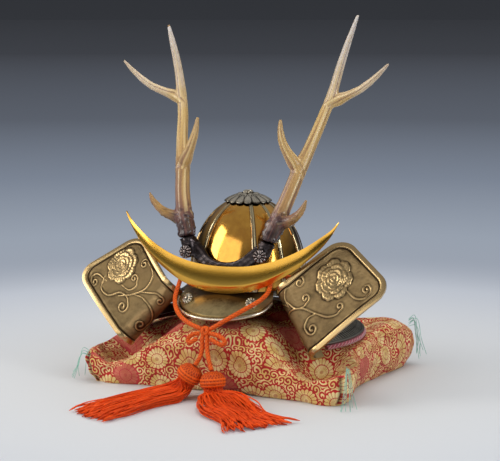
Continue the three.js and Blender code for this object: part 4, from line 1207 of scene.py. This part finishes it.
def antlerMaterial():
    material, tree, shader = startMaterial("antlerHorn")
    tone, tip, ridge = markOf(tree, "tone"), markOf(tree, "tip"), markOf(tree, "ridge")
    spots = useGroup(tree, tarnish, size=40.0, amount=1.0)
    blotches = sumOf(tree, "MULTIPLY", sumOf(tree, "SUBTRACT", spots["mask"], 0.5), 0.07)
    shift = sumOf(tree, "ADD", tone, blotches)
    ramp = addNode(tree, "ShaderNodeValToRGB", None, i0=shift)
    fillRamp(ramp, antler["tones"])
    worn = sumOf(tree, "MULTIPLY", rangeOf(tree, ridge, 0.52, 0.9), rangeOf(tree, tone, 0.04, 0.2, 0.05, 0.7))
    color = blendOf(tree, worn, ramp.outputs[0], (0.84, 0.64, 0.32))
    sunk = sumOf(tree, "MULTIPLY", rangeOf(tree, ridge, 0.46, 0.08), 0.66)
    color = blendOf(tree, sunk, color, (0.2, 0.085, 0.06))
    tineColor = sumOf(tree, "MULTIPLY", markOf(tree, "tine"), rangeOf(tree, tone, 0.3, 0.1, 0.0, 0.85))
    color = blendOf(tree, tineColor, color, (0.52, 0.3, 0.09))
    mauve = sumOf(tree, "MULTIPLY", markOf(tree, "shadeSide"), rangeOf(tree, tone, 0.06, 0.13, 0.0, 0.62))
    color = blendOf(tree, mauve, color, (0.24, 0.115, 0.115))
    color = blendOf(tree, sumOf(tree, "MULTIPLY", tip, 0.4), color, (0.34, 0.2, 0.09))
    color = blendOf(tree, sumOf(tree, "MULTIPLY", markOf(tree, "knobs"), 0.75), color, (0.03, 0.014, 0.018))
    tree.links.new(color, shader.inputs["Base Color"])
    tree.links.new(rangeOf(tree, ridge, 0.1, 0.9, 0.42, 0.27), shader.inputs["Roughness"])
    shader.inputs["Coat Weight"].default_value = 0.22
    shader.inputs["Coat Roughness"].default_value = 0.2
    shader.inputs["Subsurface Weight"].default_value = 0.05
    shader.inputs["Subsurface Radius"].default_value = (0.004, 0.002, 0.001)
    height = useGroup(tree, grain, size=380.0, stretch=(1, 1, 0.14))["height"]
    tree.links.new(bumpNormal(tree, height, 0.7, 0.0003), shader.inputs["Normal"])
    return material


horn = antlerMaterial()
for name, side in (("left", -1), ("right", 1)):
    dress(makeAntler(name, side), horn, "antler", "antler_" + name)


# The yoke, with knobs and two collars where the antlers stand
def makeYoke():
    obj = remeshed(copyNode("antler_yoke", "antlerYoke"), 0.0008, 8)
    mesh = obj.data
    at = pointsOf(mesh) * 1000 - frameShift
    normal = normalsOf(mesh)
    rng = random.Random(3)
    lumps = np.zeros(len(at))
    for _ in range(90):
        side = rng.choice((-1, 1))
        x, y = side * (36 + 5 * rng.uniform(-1, 1)), -57 + 7 * rng.uniform(-1, 1)
        spot = np.array([x, y, rng.uniform(118, 131)])
        d = np.linalg.norm(at - spot, axis=1)
        lumps += np.exp(-(d / rng.uniform(0.9, 1.7)) ** 2)
    wave = 0.12 * np.sin(at[:, 0] * 0.9) * np.sin(at[:, 2] * 1.1 + 1)
    collar = bump(at[:, 2], 128.6, 1.0) * 0.5 + bump(at[:, 2], 125.6, 0.8) * 0.35
    lift = np.minimum(lumps, 1.2) * 0.55 + wave + collar
    setPoints(mesh, (at + normal * lift[:, None] + frameShift) * 0.001)
    setMark(mesh, "cavity", np.clip(0.5 - lumps, 0, 1) * (at[:, 2] > 117))
    mesh.shade_smooth()
    return obj


dress(makeYoke(), materials["bronze"], "bronze", "antler_yoke")

print("cushion")

cushion = {
    "voxel": 0.006, "startIn": 3.0, "pressure": 4.0, "grow": -0.07, "frames": 20, "cap": 7.0,
    "standProud": 1.6,
    "clearOf": ["side_plate_left", "side_plate_right", "neck_guard_lower", "neck_guard_lacing", "tassel_left",
                "tassel_right", "cord_end_left", "cord_end_right", "cord_bow_left", "cord_bow_right",
                "cord_knot", "visor_rim"],
    "width": 238, "length": 186, "middleY": 2.6, "flowerStep": 28.0, "curlStep": 7.2,
    "cloth": {"quality": 6, "mass": 0.25, "tension_stiffness": 12, "compression_stiffness": 12,
              "shear_stiffness": 6, "bending_stiffness": 0.4},
}


# A search tree over the faces of some solids
def treeOf(names):
    points, faces = [], []
    for name in names:
        mesh = bpy.data.objects[name].data
        first = len(points)
        points += [v.co.copy() for v in mesh.vertices]
        faces += [[first + i for i in p.vertices] for p in mesh.polygons]
    return BVHTree.FromPolygons(points, faces)


# No point further out of the cushion's own form than fabric may stand, and clear of its neighbours
def keepInside(points, solid, near):
    kept = points.copy()
    for i, p in enumerate(points):
        v = Vector(p)
        spot, normal = solid.find_nearest(v)[:2]
        out = (v - spot).dot(normal)
        other = near.find_nearest(v, 0.02)
        room = cushion["standProud"] * 0.001
        if other[0] is not None:
            room = min(room, max((other[3] - 0.0012) * 0.5, -0.0008))
        if out > room:
            v = spot + normal * room
        kept[i] = v
    return kept


# The solid a little smaller, blown up as cloth against its own form, then cut fine and drawn in at the seams
def makeCushion():
    obj = remeshed(copyNode("cushion", "brocadeCushion"), cushion["voxel"], 2)
    mesh = obj.data
    at = pointsOf(mesh) - normalsOf(mesh) * cushion["startIn"] * 0.001
    solidBox = pointsOf(bpy.data.objects["cushion"].data)
    setPoints(mesh, at)
    start = at.copy()
    cloth = obj.modifiers.new("cloth", "CLOTH")
    for key, value in cushion["cloth"].items():
        setattr(cloth.settings, key, value)
    cloth.settings.shrink_min = cushion["grow"]
    cloth.settings.use_pressure = True
    cloth.settings.uniform_pressure_force = cushion["pressure"]
    cloth.settings.effector_weights.gravity = 0
    cloth.point_cache.frame_start = 1
    cloth.point_cache.frame_end = cushion["frames"]
    for step in range(1, cushion["frames"] + 1):
        scene.frame_set(step)
    graph = bpy.context.evaluated_depsgraph_get()
    swollen = bpy.data.meshes.new_from_object(obj.evaluated_get(graph))
    moved = pointsOf(swollen) - start
    far = np.linalg.norm(moved, axis=1, keepdims=True)
    cap = cushion["cap"] * 0.001
    at = start + moved * np.minimum(1, cap / np.maximum(far, 1e-9))
    obj.modifiers.clear()
    scene.frame_set(1)
    for k in (0, 1):   # the rubbed corners come back out to the full width and length
        low, high = solidBox[:, k].min() - 0.0014, solidBox[:, k].max() + 0.0014
        share = (at[:, k] - at[:, k].min()) / (at[:, k].max() - at[:, k].min())
        at[:, k] = low + (high - low) * share
    at = keepInside(at, treeOf(["cushion"]), treeOf(cushion["clearOf"]))
    at[:, 2] = np.where(at[:, 2] < 0.004, np.maximum(at[:, 2] - 0.003, 0.0), at[:, 2])
    setPoints(mesh, at)
    levels = obj.modifiers.new("finer", "SUBSURF")
    levels.levels = 2
    mesh = bpy.data.meshes.new_from_object(obj.evaluated_get(bpy.context.evaluated_depsgraph_get()))
    obj.modifiers.clear()
    obj.data = mesh
    mesh.name = "brocadeCushion"
    at = pointsOf(mesh) * 1000 - frameShift
    normal = normalsOf(mesh)
    halfX, halfY = cushion["width"] / 2, cushion["length"] / 2
    x, y = at[:, 0], at[:, 1] - cushion["middleY"]
    diagonal = np.abs(np.abs(x) - halfX - (np.abs(y) - halfY)) / 1.414
    atCorner = smooth(np.abs(x), halfX - 34, halfX - 12) * smooth(np.abs(y), halfY - 34, halfY - 12)
    onSide = smooth(np.hypot(normal[:, 0], normal[:, 1]), 0.45, 0.8)
    seam = np.exp(-(diagonal / 1.5) ** 2) * atCorner * onSide
    pucker = 0.5 * np.sin(at[:, 2] * 0.55 + x * 0.05) * np.exp(-(diagonal / 9) ** 2) * atCorner * onSide
    at = at - normal * (seam * 2.4 + pucker)[:, None]
    at[:, 2] = np.maximum(at[:, 2], 0.0)
    setPoints(mesh, (at + frameShift) * 0.001)
    setMark(mesh, "seam", seam)
    addClothMap(mesh, at, normal[:, 2])
    mesh.shade_smooth()
    return obj


# Cloth millimetres: across the top, then on down each side, with the seam at the corners
def addClothMap(mesh, at, facingUp):
    halfX, halfY = cushion["width"] / 2, cushion["length"] / 2
    centres = np.zeros(len(mesh.polygons) * 3)
    mesh.polygons.foreach_get("center", centres)
    centres = centres.reshape(-1, 3) * 1000 - frameShift
    index = np.zeros(len(mesh.loops), int)
    mesh.loops.foreach_get("vertex_index", index)
    totals = np.zeros(len(mesh.polygons), int)
    mesh.polygons.foreach_get("loop_total", totals)
    face = np.repeat(np.arange(len(totals)), totals)
    cx, cy = centres[face, 0], centres[face, 1] - cushion["middleY"]
    sideways = np.abs(cx) - halfX > np.abs(cy) - halfY
    p = at[index]
    x, y, z = p[:, 0], p[:, 1] - cushion["middleY"], p[:, 2]
    drop = np.clip(46 - z, 0, 60)
    nearX, nearY = smooth(np.abs(x), halfX - 32, halfX - 16), smooth(np.abs(y), halfY - 32, halfY - 16)
    onSide = (1 - smooth(facingUp[index], 0.4, 0.8)) * np.maximum(nearX, nearY)
    lower = (1 - smooth(z, 14, 32)) * onSide
    fallX = np.maximum(smooth(np.abs(x), halfX - 26, halfX - 6) * onSide, lower)
    fallY = np.maximum(smooth(np.abs(y), halfY - 26, halfY - 6) * onSide, lower)
    outX = mix(np.abs(x), halfX, lower) + drop * fallX
    outY = mix(np.abs(y), halfY, lower) + drop * fallY
    u = np.where(sideways, np.sign(cx) * outX, x)
    v = np.where(sideways, y, np.sign(cy) * outY)
    layer = mesh.uv_layers.new(name="UVMap") if not mesh.uv_layers else mesh.uv_layers[0]
    layer.data.foreach_set("uv", np.stack([u, v], 1).ravel())


def brocadeMaterial():
    material, tree, shader = startMaterial("brocade")
    uv = placeOf(tree, "UV")
    noise = addNode(tree, "ShaderNodeTexNoise", {"noise_dimensions": "2D"}, Vector=uv, Scale=0.08, Detail=1.0)
    waver = addNode(tree, "ShaderNodeVectorMath", {"operation": "SCALE"}, i0=noise.outputs["Color"],
                    Scale=2.4)
    cloth = addNode(tree, "ShaderNodeVectorMath", {"operation": "ADD"}, i0=uv, i1=waver.outputs[0]).outputs[0]

    # the way from the nearest cell's middle, and three chances that are the cell's own
    def cells(vector, step, randomness):
        node = addNode(tree, "ShaderNodeTexVoronoi", {"voronoi_dimensions": "2D", "feature": "F1"},
                       Vector=vector, Scale=1 / step, Randomness=randomness)
        local = addNode(tree, "ShaderNodeVectorMath", {"operation": "SUBTRACT"},
                        i0=vector, i1=node.outputs["Position"]).outputs[0]
        chance = addNode(tree, "ShaderNodeSeparateColor", None, Color=node.outputs["Color"]).outputs
        return local, chance

    def polar(local, dx=0.0, dy=0.0):
        moved = addNode(tree, "ShaderNodeVectorMath", {"operation": "ADD"}, i0=local,
                        i1=(dx, dy, 0)).outputs[0]
        parts = addNode(tree, "ShaderNodeSeparateXYZ", None, i0=moved).outputs
        away = addNode(tree, "ShaderNodeVectorMath", {"operation": "LENGTH"}, i0=moved).outputs["Value"]
        return away, sumOf(tree, "ARCTAN2", parts[1], parts[0])

    def below(value, limit, softness=0.25):
        high = sumOf(tree, "ADD", limit, softness)
        return rangeOf(tree, value, high, sumOf(tree, "SUBTRACT", limit, softness))

    def petals(angle, count, phase=0.0):
        wave = sumOf(tree, "COSINE", sumOf(tree, "MULTIPLY_ADD", angle, count / 2, phase))
        return sumOf(tree, "ABSOLUTE", wave)

    def times(a, b):
        return sumOf(tree, "MULTIPLY", a, b)

    def less(a, b):
        return sumOf(tree, "SUBTRACT", a, b, clamp=True)

    def near(value, middle, width, softness=0.2):
        return below(sumOf(tree, "ABSOLUTE", sumOf(tree, "SUBTRACT", value, middle)), width, softness)

    # flowers seen from the front
    local, chance = cells(cloth, cushion["flowerStep"], 0.42)
    away, angle = polar(local)
    lobe = petals(angle, 18)
    edge = sumOf(tree, "MULTIPLY_ADD", lobe, 1.5, 9.6)
    disc = below(away, edge)
    lines = times(below(lobe, 0.22, 0.12), rangeOf(tree, away, 2.6, 3.6))
    ringLine = near(away, 6.0, 0.35)
    heart = below(away, 2.2)
    frontFlower = less(disc, sumOf(tree, "MAXIMUM", lines, ringLine))
    # half flowers seen from the side, like fans
    awayB, angleB = polar(local, 0.0, 6.5)
    lobeB = petals(angleB, 22)
    edgeB = sumOf(tree, "MULTIPLY_ADD", lobeB, 1.8, 14.0)
    up = rangeOf(tree, sumOf(tree, "SINE", angleB), 0.2, 0.3)
    fan = times(times(below(awayB, edgeB), rangeOf(tree, awayB, 3.4, 3.9)), up)
    fanLines = sumOf(tree, "MAXIMUM", below(lobeB, 0.26, 0.12), near(awayB, 9.5, 0.35))
    sideFlower = less(fan, fanLines)
    isSide = rangeOf(tree, chance[0], 0.52, 0.53)
    isRed = rangeOf(tree, chance[1], 0.8, 0.81)
    flower = addNode(tree, "ShaderNodeMix", None, i0=isSide, i2=frontFlower, i3=sideFlower).outputs[0]
    fanRoom = times(below(awayB, 17.0), rangeOf(tree, sumOf(tree, "SINE", angleB), 0.0, 0.14))
    covered = addNode(tree, "ShaderNodeMix", None, i0=isSide, i2=below(away, 12.2), i3=fanRoom).outputs[0]

    # small curls that fill the ground between them
    curlLocal, curlChance = cells(cloth, cushion["curlStep"], 0.85)
    curlAway, curlAngle = polar(curlLocal)
    whirl = sumOf(tree, "MULTIPLY_ADD", curlAngle, 1 / 6.2832, sumOf(tree, "MULTIPLY", curlAway, 0.38))
    spiral = sumOf(tree, "FRACT", sumOf(tree, "ADD", whirl, curlChance[2]))
    curl = less(near(spiral, 0.5, 0.23, 0.06), covered)
    cream = sumOf(tree, "MAXIMUM", times(flower, sumOf(tree, "SUBTRACT", 1.0, times(isRed, 0.8))), curl)

    patch = addNode(tree, "ShaderNodeTexNoise", {"noise_dimensions": "2D"}, Vector=uv, Scale=0.09,
                    Detail=3.0).outputs[0]
    gold = blendOf(tree, rangeOf(tree, patch, 0.38, 0.64), (0.82, 0.56, 0.17), (1.0, 0.8, 0.38))
    gold = blendOf(tree, sumOf(tree, "MULTIPLY", times(heart, disc), 0.7), gold, (0.62, 0.2, 0.08))
    red = blendOf(tree, rangeOf(tree, patch, 0.3, 0.7), (0.46, 0.008, 0.006), (0.66, 0.018, 0.014))
    red = blendOf(tree, times(times(covered, isRed), 0.5), red, (0.66, 0.08, 0.1))
    color = blendOf(tree, cream, red, gold)
    weaving = useGroup(tree, weave, pitch=0.55)
    color = blendOf(tree, rangeOf(tree, weaving["across"], -0.2, 1.0, 0.0, 0.22), color, (0.1, 0.02, 0.015))
    color = blendOf(tree, times(markOf(tree, "seam"), 0.75), color, (0.02, 0.004, 0.004))
    tree.links.new(color, shader.inputs["Base Color"])
    tree.links.new(rangeOf(tree, cream, 0.0, 1.0, 0.62, 0.42), shader.inputs["Roughness"])
    shader.inputs["Sheen Weight"].default_value = 0.06
    shader.inputs["Sheen Roughness"].default_value = 0.4
    shader.inputs["Specular IOR Level"].default_value = 0.35
    normal = bumpNormal(tree, weaving["height"], 0.5, 0.00012)
    tree.links.new(bumpNormal(tree, cream, 0.5, 0.0003, normal), shader.inputs["Normal"])
    return material


cushionObject = makeCushion()
dress(cushionObject, brocadeMaterial(), "brocade", "cushion")

print("tassels")

tassel = {
    "strands": 200, "steps": 30, "sides": 5, "thick": 0.5, "headRows": 66, "headSides": 176,
    # the head's outline along its axis, then where each skirt lies: its far and its near edge
    "cap": [(-7.4, 3.4), (-5.2, 8.0), (-1.0, 10.6), (4.0, 10.6), (6.6, 8.6)],
    "left": {"head": (-10.4, -109.4, 21.6), "axis": (-0.52, -0.1, -0.85),
             "far": [(-18, -107, 18), (-29, -113, 9), (-42, -127, 5.4), (-54, -157, 4.8), (-66, -186, 3.6),
                     (-71, -201, 1.6)],
             "near": [(-9, -110, 16), (-7.6, -116.5, 7.5), (-12, -127, 4.8), (-22, -147, 4.4),
                      (-33, -178, 3.4), (-46, -213, 1.6)]},
    "right": {"head": (11.4, -111.4, 18), "axis": (0.12, -0.12, -0.98),
              "far": [(17, -109.6, 12), (32, -113.5, 8), (49, -126, 5.4), (63, -143, 5), (80, -158, 4),
                      (100, -163, 1.9)],
              "near": [(8, -113, 12), (7.4, -126, 7), (16, -143, 5.2), (29.6, -161, 4.9), (50, -174, 3.9),
                       (75, -200, 1.9)]},
}


# The head's middle, the way down out of it and two ways across
def tasselAxes(name):
    head, down = np.array(tassel[name]["head"]), unit(tassel[name]["axis"])
    across = unit(np.cross([0, 1.0, 0], down))
    return head, down, across, np.cross(down, across)


# Loose strands that leave the head side by side and lie down between the skirt's two edges
def makeSkirt(name, seed):
    facts = tassel[name]
    rng = np.random.default_rng(seed)
    head, down, across, front = tasselAxes(name)
    far = curvePoints(facts["far"], 60)
    near = curvePoints(facts["near"], 60)
    tubes = []
    steps = tassel["steps"]
    t = np.linspace(0, 1, steps)
    for _ in range(tassel["strands"]):
        share = np.clip(rng.uniform(-0.1, 1.1), -0.08, 1.08)
        layer = rng.uniform(-1, 1)
        reach = rng.uniform(0.8, 1.0)
        drift = rng.normal(0, 0.13)
        at = np.clip(t * reach, 0, 1)
        shares = share + drift * at ** 1.5 + 0.05 * np.sin(at * rng.uniform(5, 12) + rng.uniform(0, 6)) * at
        index = at * 59
        low = np.minimum(index.astype(int), 58)
        part = (index - low)[:, None]
        a = far[low] * (1 - part) + far[low + 1] * part
        b = near[low] * (1 - part) + near[low + 1] * part
        path = a + (b - a) * shares[:, None]
        thick = np.interp(at, [0, 0.25, 0.7, 1.0], [4.2, 4.3, 3.4, 1.0])
        path[:, 2] = path[:, 2] + layer * thick
        wobble = rng.uniform(0.7, 2.1)
        path[:, 0] += wobble * np.sin(at * rng.uniform(8, 16) + rng.uniform(0, 6)) * at
        path[:, 1] += wobble * np.sin(at * rng.uniform(8, 16) + rng.uniform(0, 6)) * at
        path[:, 2] += 0.7 * np.sin(at * rng.uniform(6, 12) + rng.uniform(0, 6)) * at
        aroundHead = rng.uniform(0, 2 * np.pi)
        spread = 8.2 * math.sqrt(rng.uniform(0.35, 1))
        outward = across * math.cos(aroundHead) + front * math.sin(aroundHead)
        start = head + down * 5.2 + outward * spread
        startLow = start + down * 6 + outward
        pull = (1 - smooth(t, 0.0, 0.26))[:, None]
        lead = start + (startLow - start) * np.minimum(t / 0.12, 1)[:, None]
        path = path * (1 - pull) + lead * pull
        width = tassel["thick"] * rng.uniform(0.85, 1.15)
        radii = np.full(steps, width)
        radii[-3] = width * 1.75
        radii[-2] = width * 1.55
        radii[-1] = width * 0.5
        path[:, 2] = np.maximum(path[:, 2], radii * 1.04 + 0.05)
        tubes.append((path, radii))
    sides = tassel["sides"]
    points, faces, cavity = [], [], []
    for path, radii in tubes:
        first = len(points) * steps * sides
        rings = tubeRings(path, radii, sides)
        faces.append(gridFaces(steps, sides, False, True, first=first))
        points.append(rings.reshape(-1, 3))
        # each strand's own random tone, plus painted shade on the stretch that leaves the head
        tone = rng.uniform(0, 0.5)
        cavity.append(np.full(steps * sides, tone) + 0.3 * (1 - smooth(np.repeat(t, sides), 0, 0.12)))
    allFaces = np.concatenate(faces).tolist()
    ends = []
    for i in range(len(tubes)):
        first = i * steps * sides
        ends.append([first + (steps - 1) * sides + j for j in range(sides)])
        ends.append([first + j for j in range(sides)][::-1])
    marks = {"cavity": np.concatenate(cavity)}
    return addMesh("tasselSkirt_" + name, np.concatenate(points), allFaces + ends, None, marks, 0,
                   outward=False)


# The netted head with its three wound rings
def makeHead(name):
    head, down, across, front = tasselAxes(name)
    rows = np.array(tassel["cap"])
    fine = curvePoints(np.stack([rows[:, 0], rows[:, 1], rows[:, 0] * 0], 1), tassel["headRows"])
    turns = np.linspace(0, 2 * np.pi, tassel["headSides"], endpoint=False)
    i, turn = np.meshgrid(np.arange(tassel["headRows"]), turns, indexing="ij")
    d, r = fine[i, 0], fine[i, 1]
    net = np.maximum(np.abs(np.cos(turn * 11 + d * 0.75)) ** 6, np.abs(np.cos(turn * 11 - d * 0.75)) ** 6)
    height = 0.4 * net
    for ringAt in (-0.9, 1.9, 4.7):
        bulge = np.sqrt(np.clip(1 - ((d - ringAt) / 0.95) ** 2, 0, 1))
        bead = bulge * (0.45 + 0.55 * np.abs(np.cos(turn * 17 + ringAt)) ** 0.6)
        height = np.maximum(height * (np.abs(d - ringAt) > 1.0), bead * 0.75)
    # painted shade: the head darkens in the gaps between the raised net and the rings
    cavity = np.clip(0.85 - height * 1.6, 0, 1)
    r = r + height - 0.35
    x, y = (r * np.cos(turn))[..., None], (r * np.sin(turn))[..., None]
    rings = head + d[..., None] * down + x * across + y * front
    return ringMesh("tasselHead_" + name, rings, marks={"cavity": cavity.ravel()}, sharp=0)


for name, seed in (("left", 21), ("right", 34)):
    dress(makeSkirt(name, seed), materials["strands"], "cord", "tassel_" + name)
    dress(makeHead(name), materials["cord"], "cord")

print("basting threads")

threads = {
    "thick": 0.26, "steps": 26, "sides": 5,
    # corner, the way out of it, how many, and the drop of the tuft
    "tufts": [((-120.5, -90, 24), (-1.0, -0.5), 6, 22), ((125.0, -91.5, 30), (0.7, -1.0), 7, 38),
              ((121.5, 93, 40), (1.0, 0.5), 7, 38)],
}


def makeThreads():
    rng = np.random.default_rng(9)
    steps, sides = threads["steps"], threads["sides"]
    points, faces, first = [], [], 0
    for corner, way, many, drop in threads["tufts"]:
        way = np.array([*unit(way), 0])
        aside = np.array([-way[1], way[0], 0])
        for _ in range(many):
            out, lean = rng.uniform(4, 13), rng.uniform(-9, 9)
            route = [np.array(corner) - way * 2 + [0, 0, rng.uniform(-4, 3)]]
            route.append(route[0] + way * out * 0.6 + aside * lean * 0.2 + [0, 0, rng.uniform(0, 5)])
            route.append(route[0] + way * out + aside * lean * 0.6 + [0, 0, -drop * rng.uniform(0.3, 0.5)])
            low = np.array(corner) + way * (out + rng.uniform(-3, 4)) + aside * lean
            route.append([low[0], low[1], max(corner[2] - drop * rng.uniform(0.7, 1.0), 0.4)])
            path = curvePoints(route, steps)
            path[:, 2] = np.maximum(path[:, 2], threads["thick"] + 0.05)
            rings = tubeRings(path, np.full(steps, threads["thick"]), sides)
            last = first + (steps - 1) * sides
            faces += gridFaces(steps, sides, False, True, first=first).tolist()
            faces += [[first + j for j in range(sides)][::-1], [last + j for j in range(sides)]]
            points.append(rings.reshape(-1, 3))
            first += steps * sides
    return addMesh("bastingThreads", np.concatenate(points), faces, None, None, 0, outward=False)


threadGreen = silkMaterial("threadGreen", (0.32, 0.62, 0.5), (0.16, 0.36, 0.3), None, 0.5, 0.3, (0.6, 1, 0.8))
dress(makeThreads(), threadGreen, "lacing")

print("light")

# The backdrop is one sweep: a pale floor that climbs far behind, with painted light: it glows by distance and
# its colour darkens with distance
stage = {
    "segments": 64, "rings": 30, "firstRing": 0.05, "ringGrowth": 1.25, "sweepFrom": 14.0, "sweepRise": 6.0,
    "pale": (0.64, 0.645, 0.635), "fadeFrom": 0.12, "fadeTo": 0.75, "logSpan": 3.2,
    # distance in metres and the painted glow that the floor gives off there
    "glow": [(0.0, (0, 0, 0)), (0.12, (0, 0, 0)), (0.5, (0.315, 0.345, 0.405)), (0.95, (0.29, 0.33, 0.395)),
             (1.8, (0.178, 0.209, 0.267)), (3.7, (0.084, 0.097, 0.123)), (12.0, (0.036, 0.04, 0.05)),
             (20.0, (0.008, 0.009, 0.011))],
}


# Rings of faces that reach far out and rise behind, with their own glow by distance
def makeFloor():
    rings = [0.0] + [stage["firstRing"] * stage["ringGrowth"] ** k for k in range(stage["rings"])]
    around = stage["segments"]
    points, faces = [(0, 0, 0)], [[0, 1 + j, 1 + (j + 1) % around] for j in range(around)]
    for r in rings[1:]:
        rise = stage["sweepRise"] * float(smooth(r, stage["sweepFrom"], rings[-1]))
        turns = np.linspace(0, 2 * math.pi, around, endpoint=False)
        points += [(r * math.cos(a), r * math.sin(a), rise) for a in turns]
    for i in range(len(rings) - 2):
        a, b = 1 + i * around, 1 + (i + 1) * around
        faces += [[a + j, b + j, b + (j + 1) % around, a + (j + 1) % around] for j in range(around)]
    mesh = bpy.data.meshes.new("floor")
    mesh.from_pydata(points, [], faces)
    floor = bpy.data.objects.new("floor", mesh)
    scene.collection.objects.link(floor)
    material, tree, shader = startMaterial("floor")
    place = addNode(tree, "ShaderNodeSeparateXYZ", None, i0=placeOf(tree)).outputs
    flat = addNode(tree, "ShaderNodeCombineXYZ", None, i0=place[0], i1=place[1]).outputs[0]
    away = addNode(tree, "ShaderNodeVectorMath", {"operation": "LENGTH"}, i0=flat).outputs["Value"]
    logAway = sumOf(tree, "LOGARITHM", sumOf(tree, "ADD", away, 1.0), math.e)
    far = sumOf(tree, "DIVIDE", logAway, stage["logSpan"])
    ramp = addNode(tree, "ShaderNodeValToRGB", None, i0=far)
    steps = [(math.log(1 + distance) / stage["logSpan"], color) for distance, color in stage["glow"]]
    fillRamp(ramp, steps)
    # painted light: the floor glows by a ramp over distance, though it is no lamp
    tree.links.new(ramp.outputs[0], shader.inputs["Emission Color"])
    shader.inputs["Emission Strength"].default_value = 1.0
    # painted fall-off: the floor's own colour goes from pale near the middle to near black further out
    paintedFalloff = rangeOf(tree, away, stage["fadeFrom"], stage["fadeTo"])
    tree.links.new(blendOf(tree, paintedFalloff, stage["pale"], (0.02, 0.022, 0.026)), shader.inputs["Base Color"])
    shader.inputs["Roughness"].default_value = 0.6
    shader.inputs["Specular IOR Level"].default_value = 0.1
    mesh.materials.append(material)


makeFloor()

world = bpy.data.worlds.new("studio")
scene.world = world
world.use_nodes = True
tree = world.node_tree
tree.nodes.clear()
skyOut = tree.nodes.new("ShaderNodeOutputWorld")
height = addNode(tree, "ShaderNodeSeparateXYZ", None, i0=placeOf(tree, "Generated")).outputs[2]
skyLight = blendOf(tree, rangeOf(tree, height, 0.05, 0.75), (0.04, 0.042, 0.047), (0.34, 0.34, 0.35))
background = addNode(tree, "ShaderNodeBackground", None, Color=skyLight, Strength=1.0)
tree.links.new(background.outputs[0], skyOut.inputs[0])

lamps = [
    # name, place, aim, width, height, watts, colour
    ("softboxLeft", (-1.15, -0.8, 0.75), (0, 0, 0.12), 0.6, 1.0, 9, (1, 0.97, 0.93)),
    ("cardFront", (-0.5, -1.5, 0.76), (0, 0, 0.12), 1.4, 1.0, 6.0, (1, 0.98, 0.95)),
    ("softboxRight", (1.25, -0.4, 0.6), (0, 0, 0.1), 0.35, 0.8, 6.0, (0.95, 0.97, 1)),
    ("softboxTop", (0.05, 0.1, 1.3), (0, 0, 0.1), 1.1, 0.8, 7.5, (1, 1, 1)),
]
for name, place, aim, width, height, watts, color in lamps:
    lampData = bpy.data.lights.new(name, "AREA")
    lampData.shape = "RECTANGLE"
    lampData.size, lampData.size_y = width, height
    lampData.energy = watts
    lampData.color = color
    lamp = bpy.data.objects.new(name, lampData)
    scene.collection.objects.link(lamp)
    lamp.visible_glossy = name != "softboxTop"
    lamp.location = place
    lamp.rotation_mode = "QUATERNION"
    lamp.rotation_quaternion = (Vector(aim) - Vector(place)).to_track_quat("-Z", "Y")
scene.view_settings.view_transform = "Standard"

print("finish")
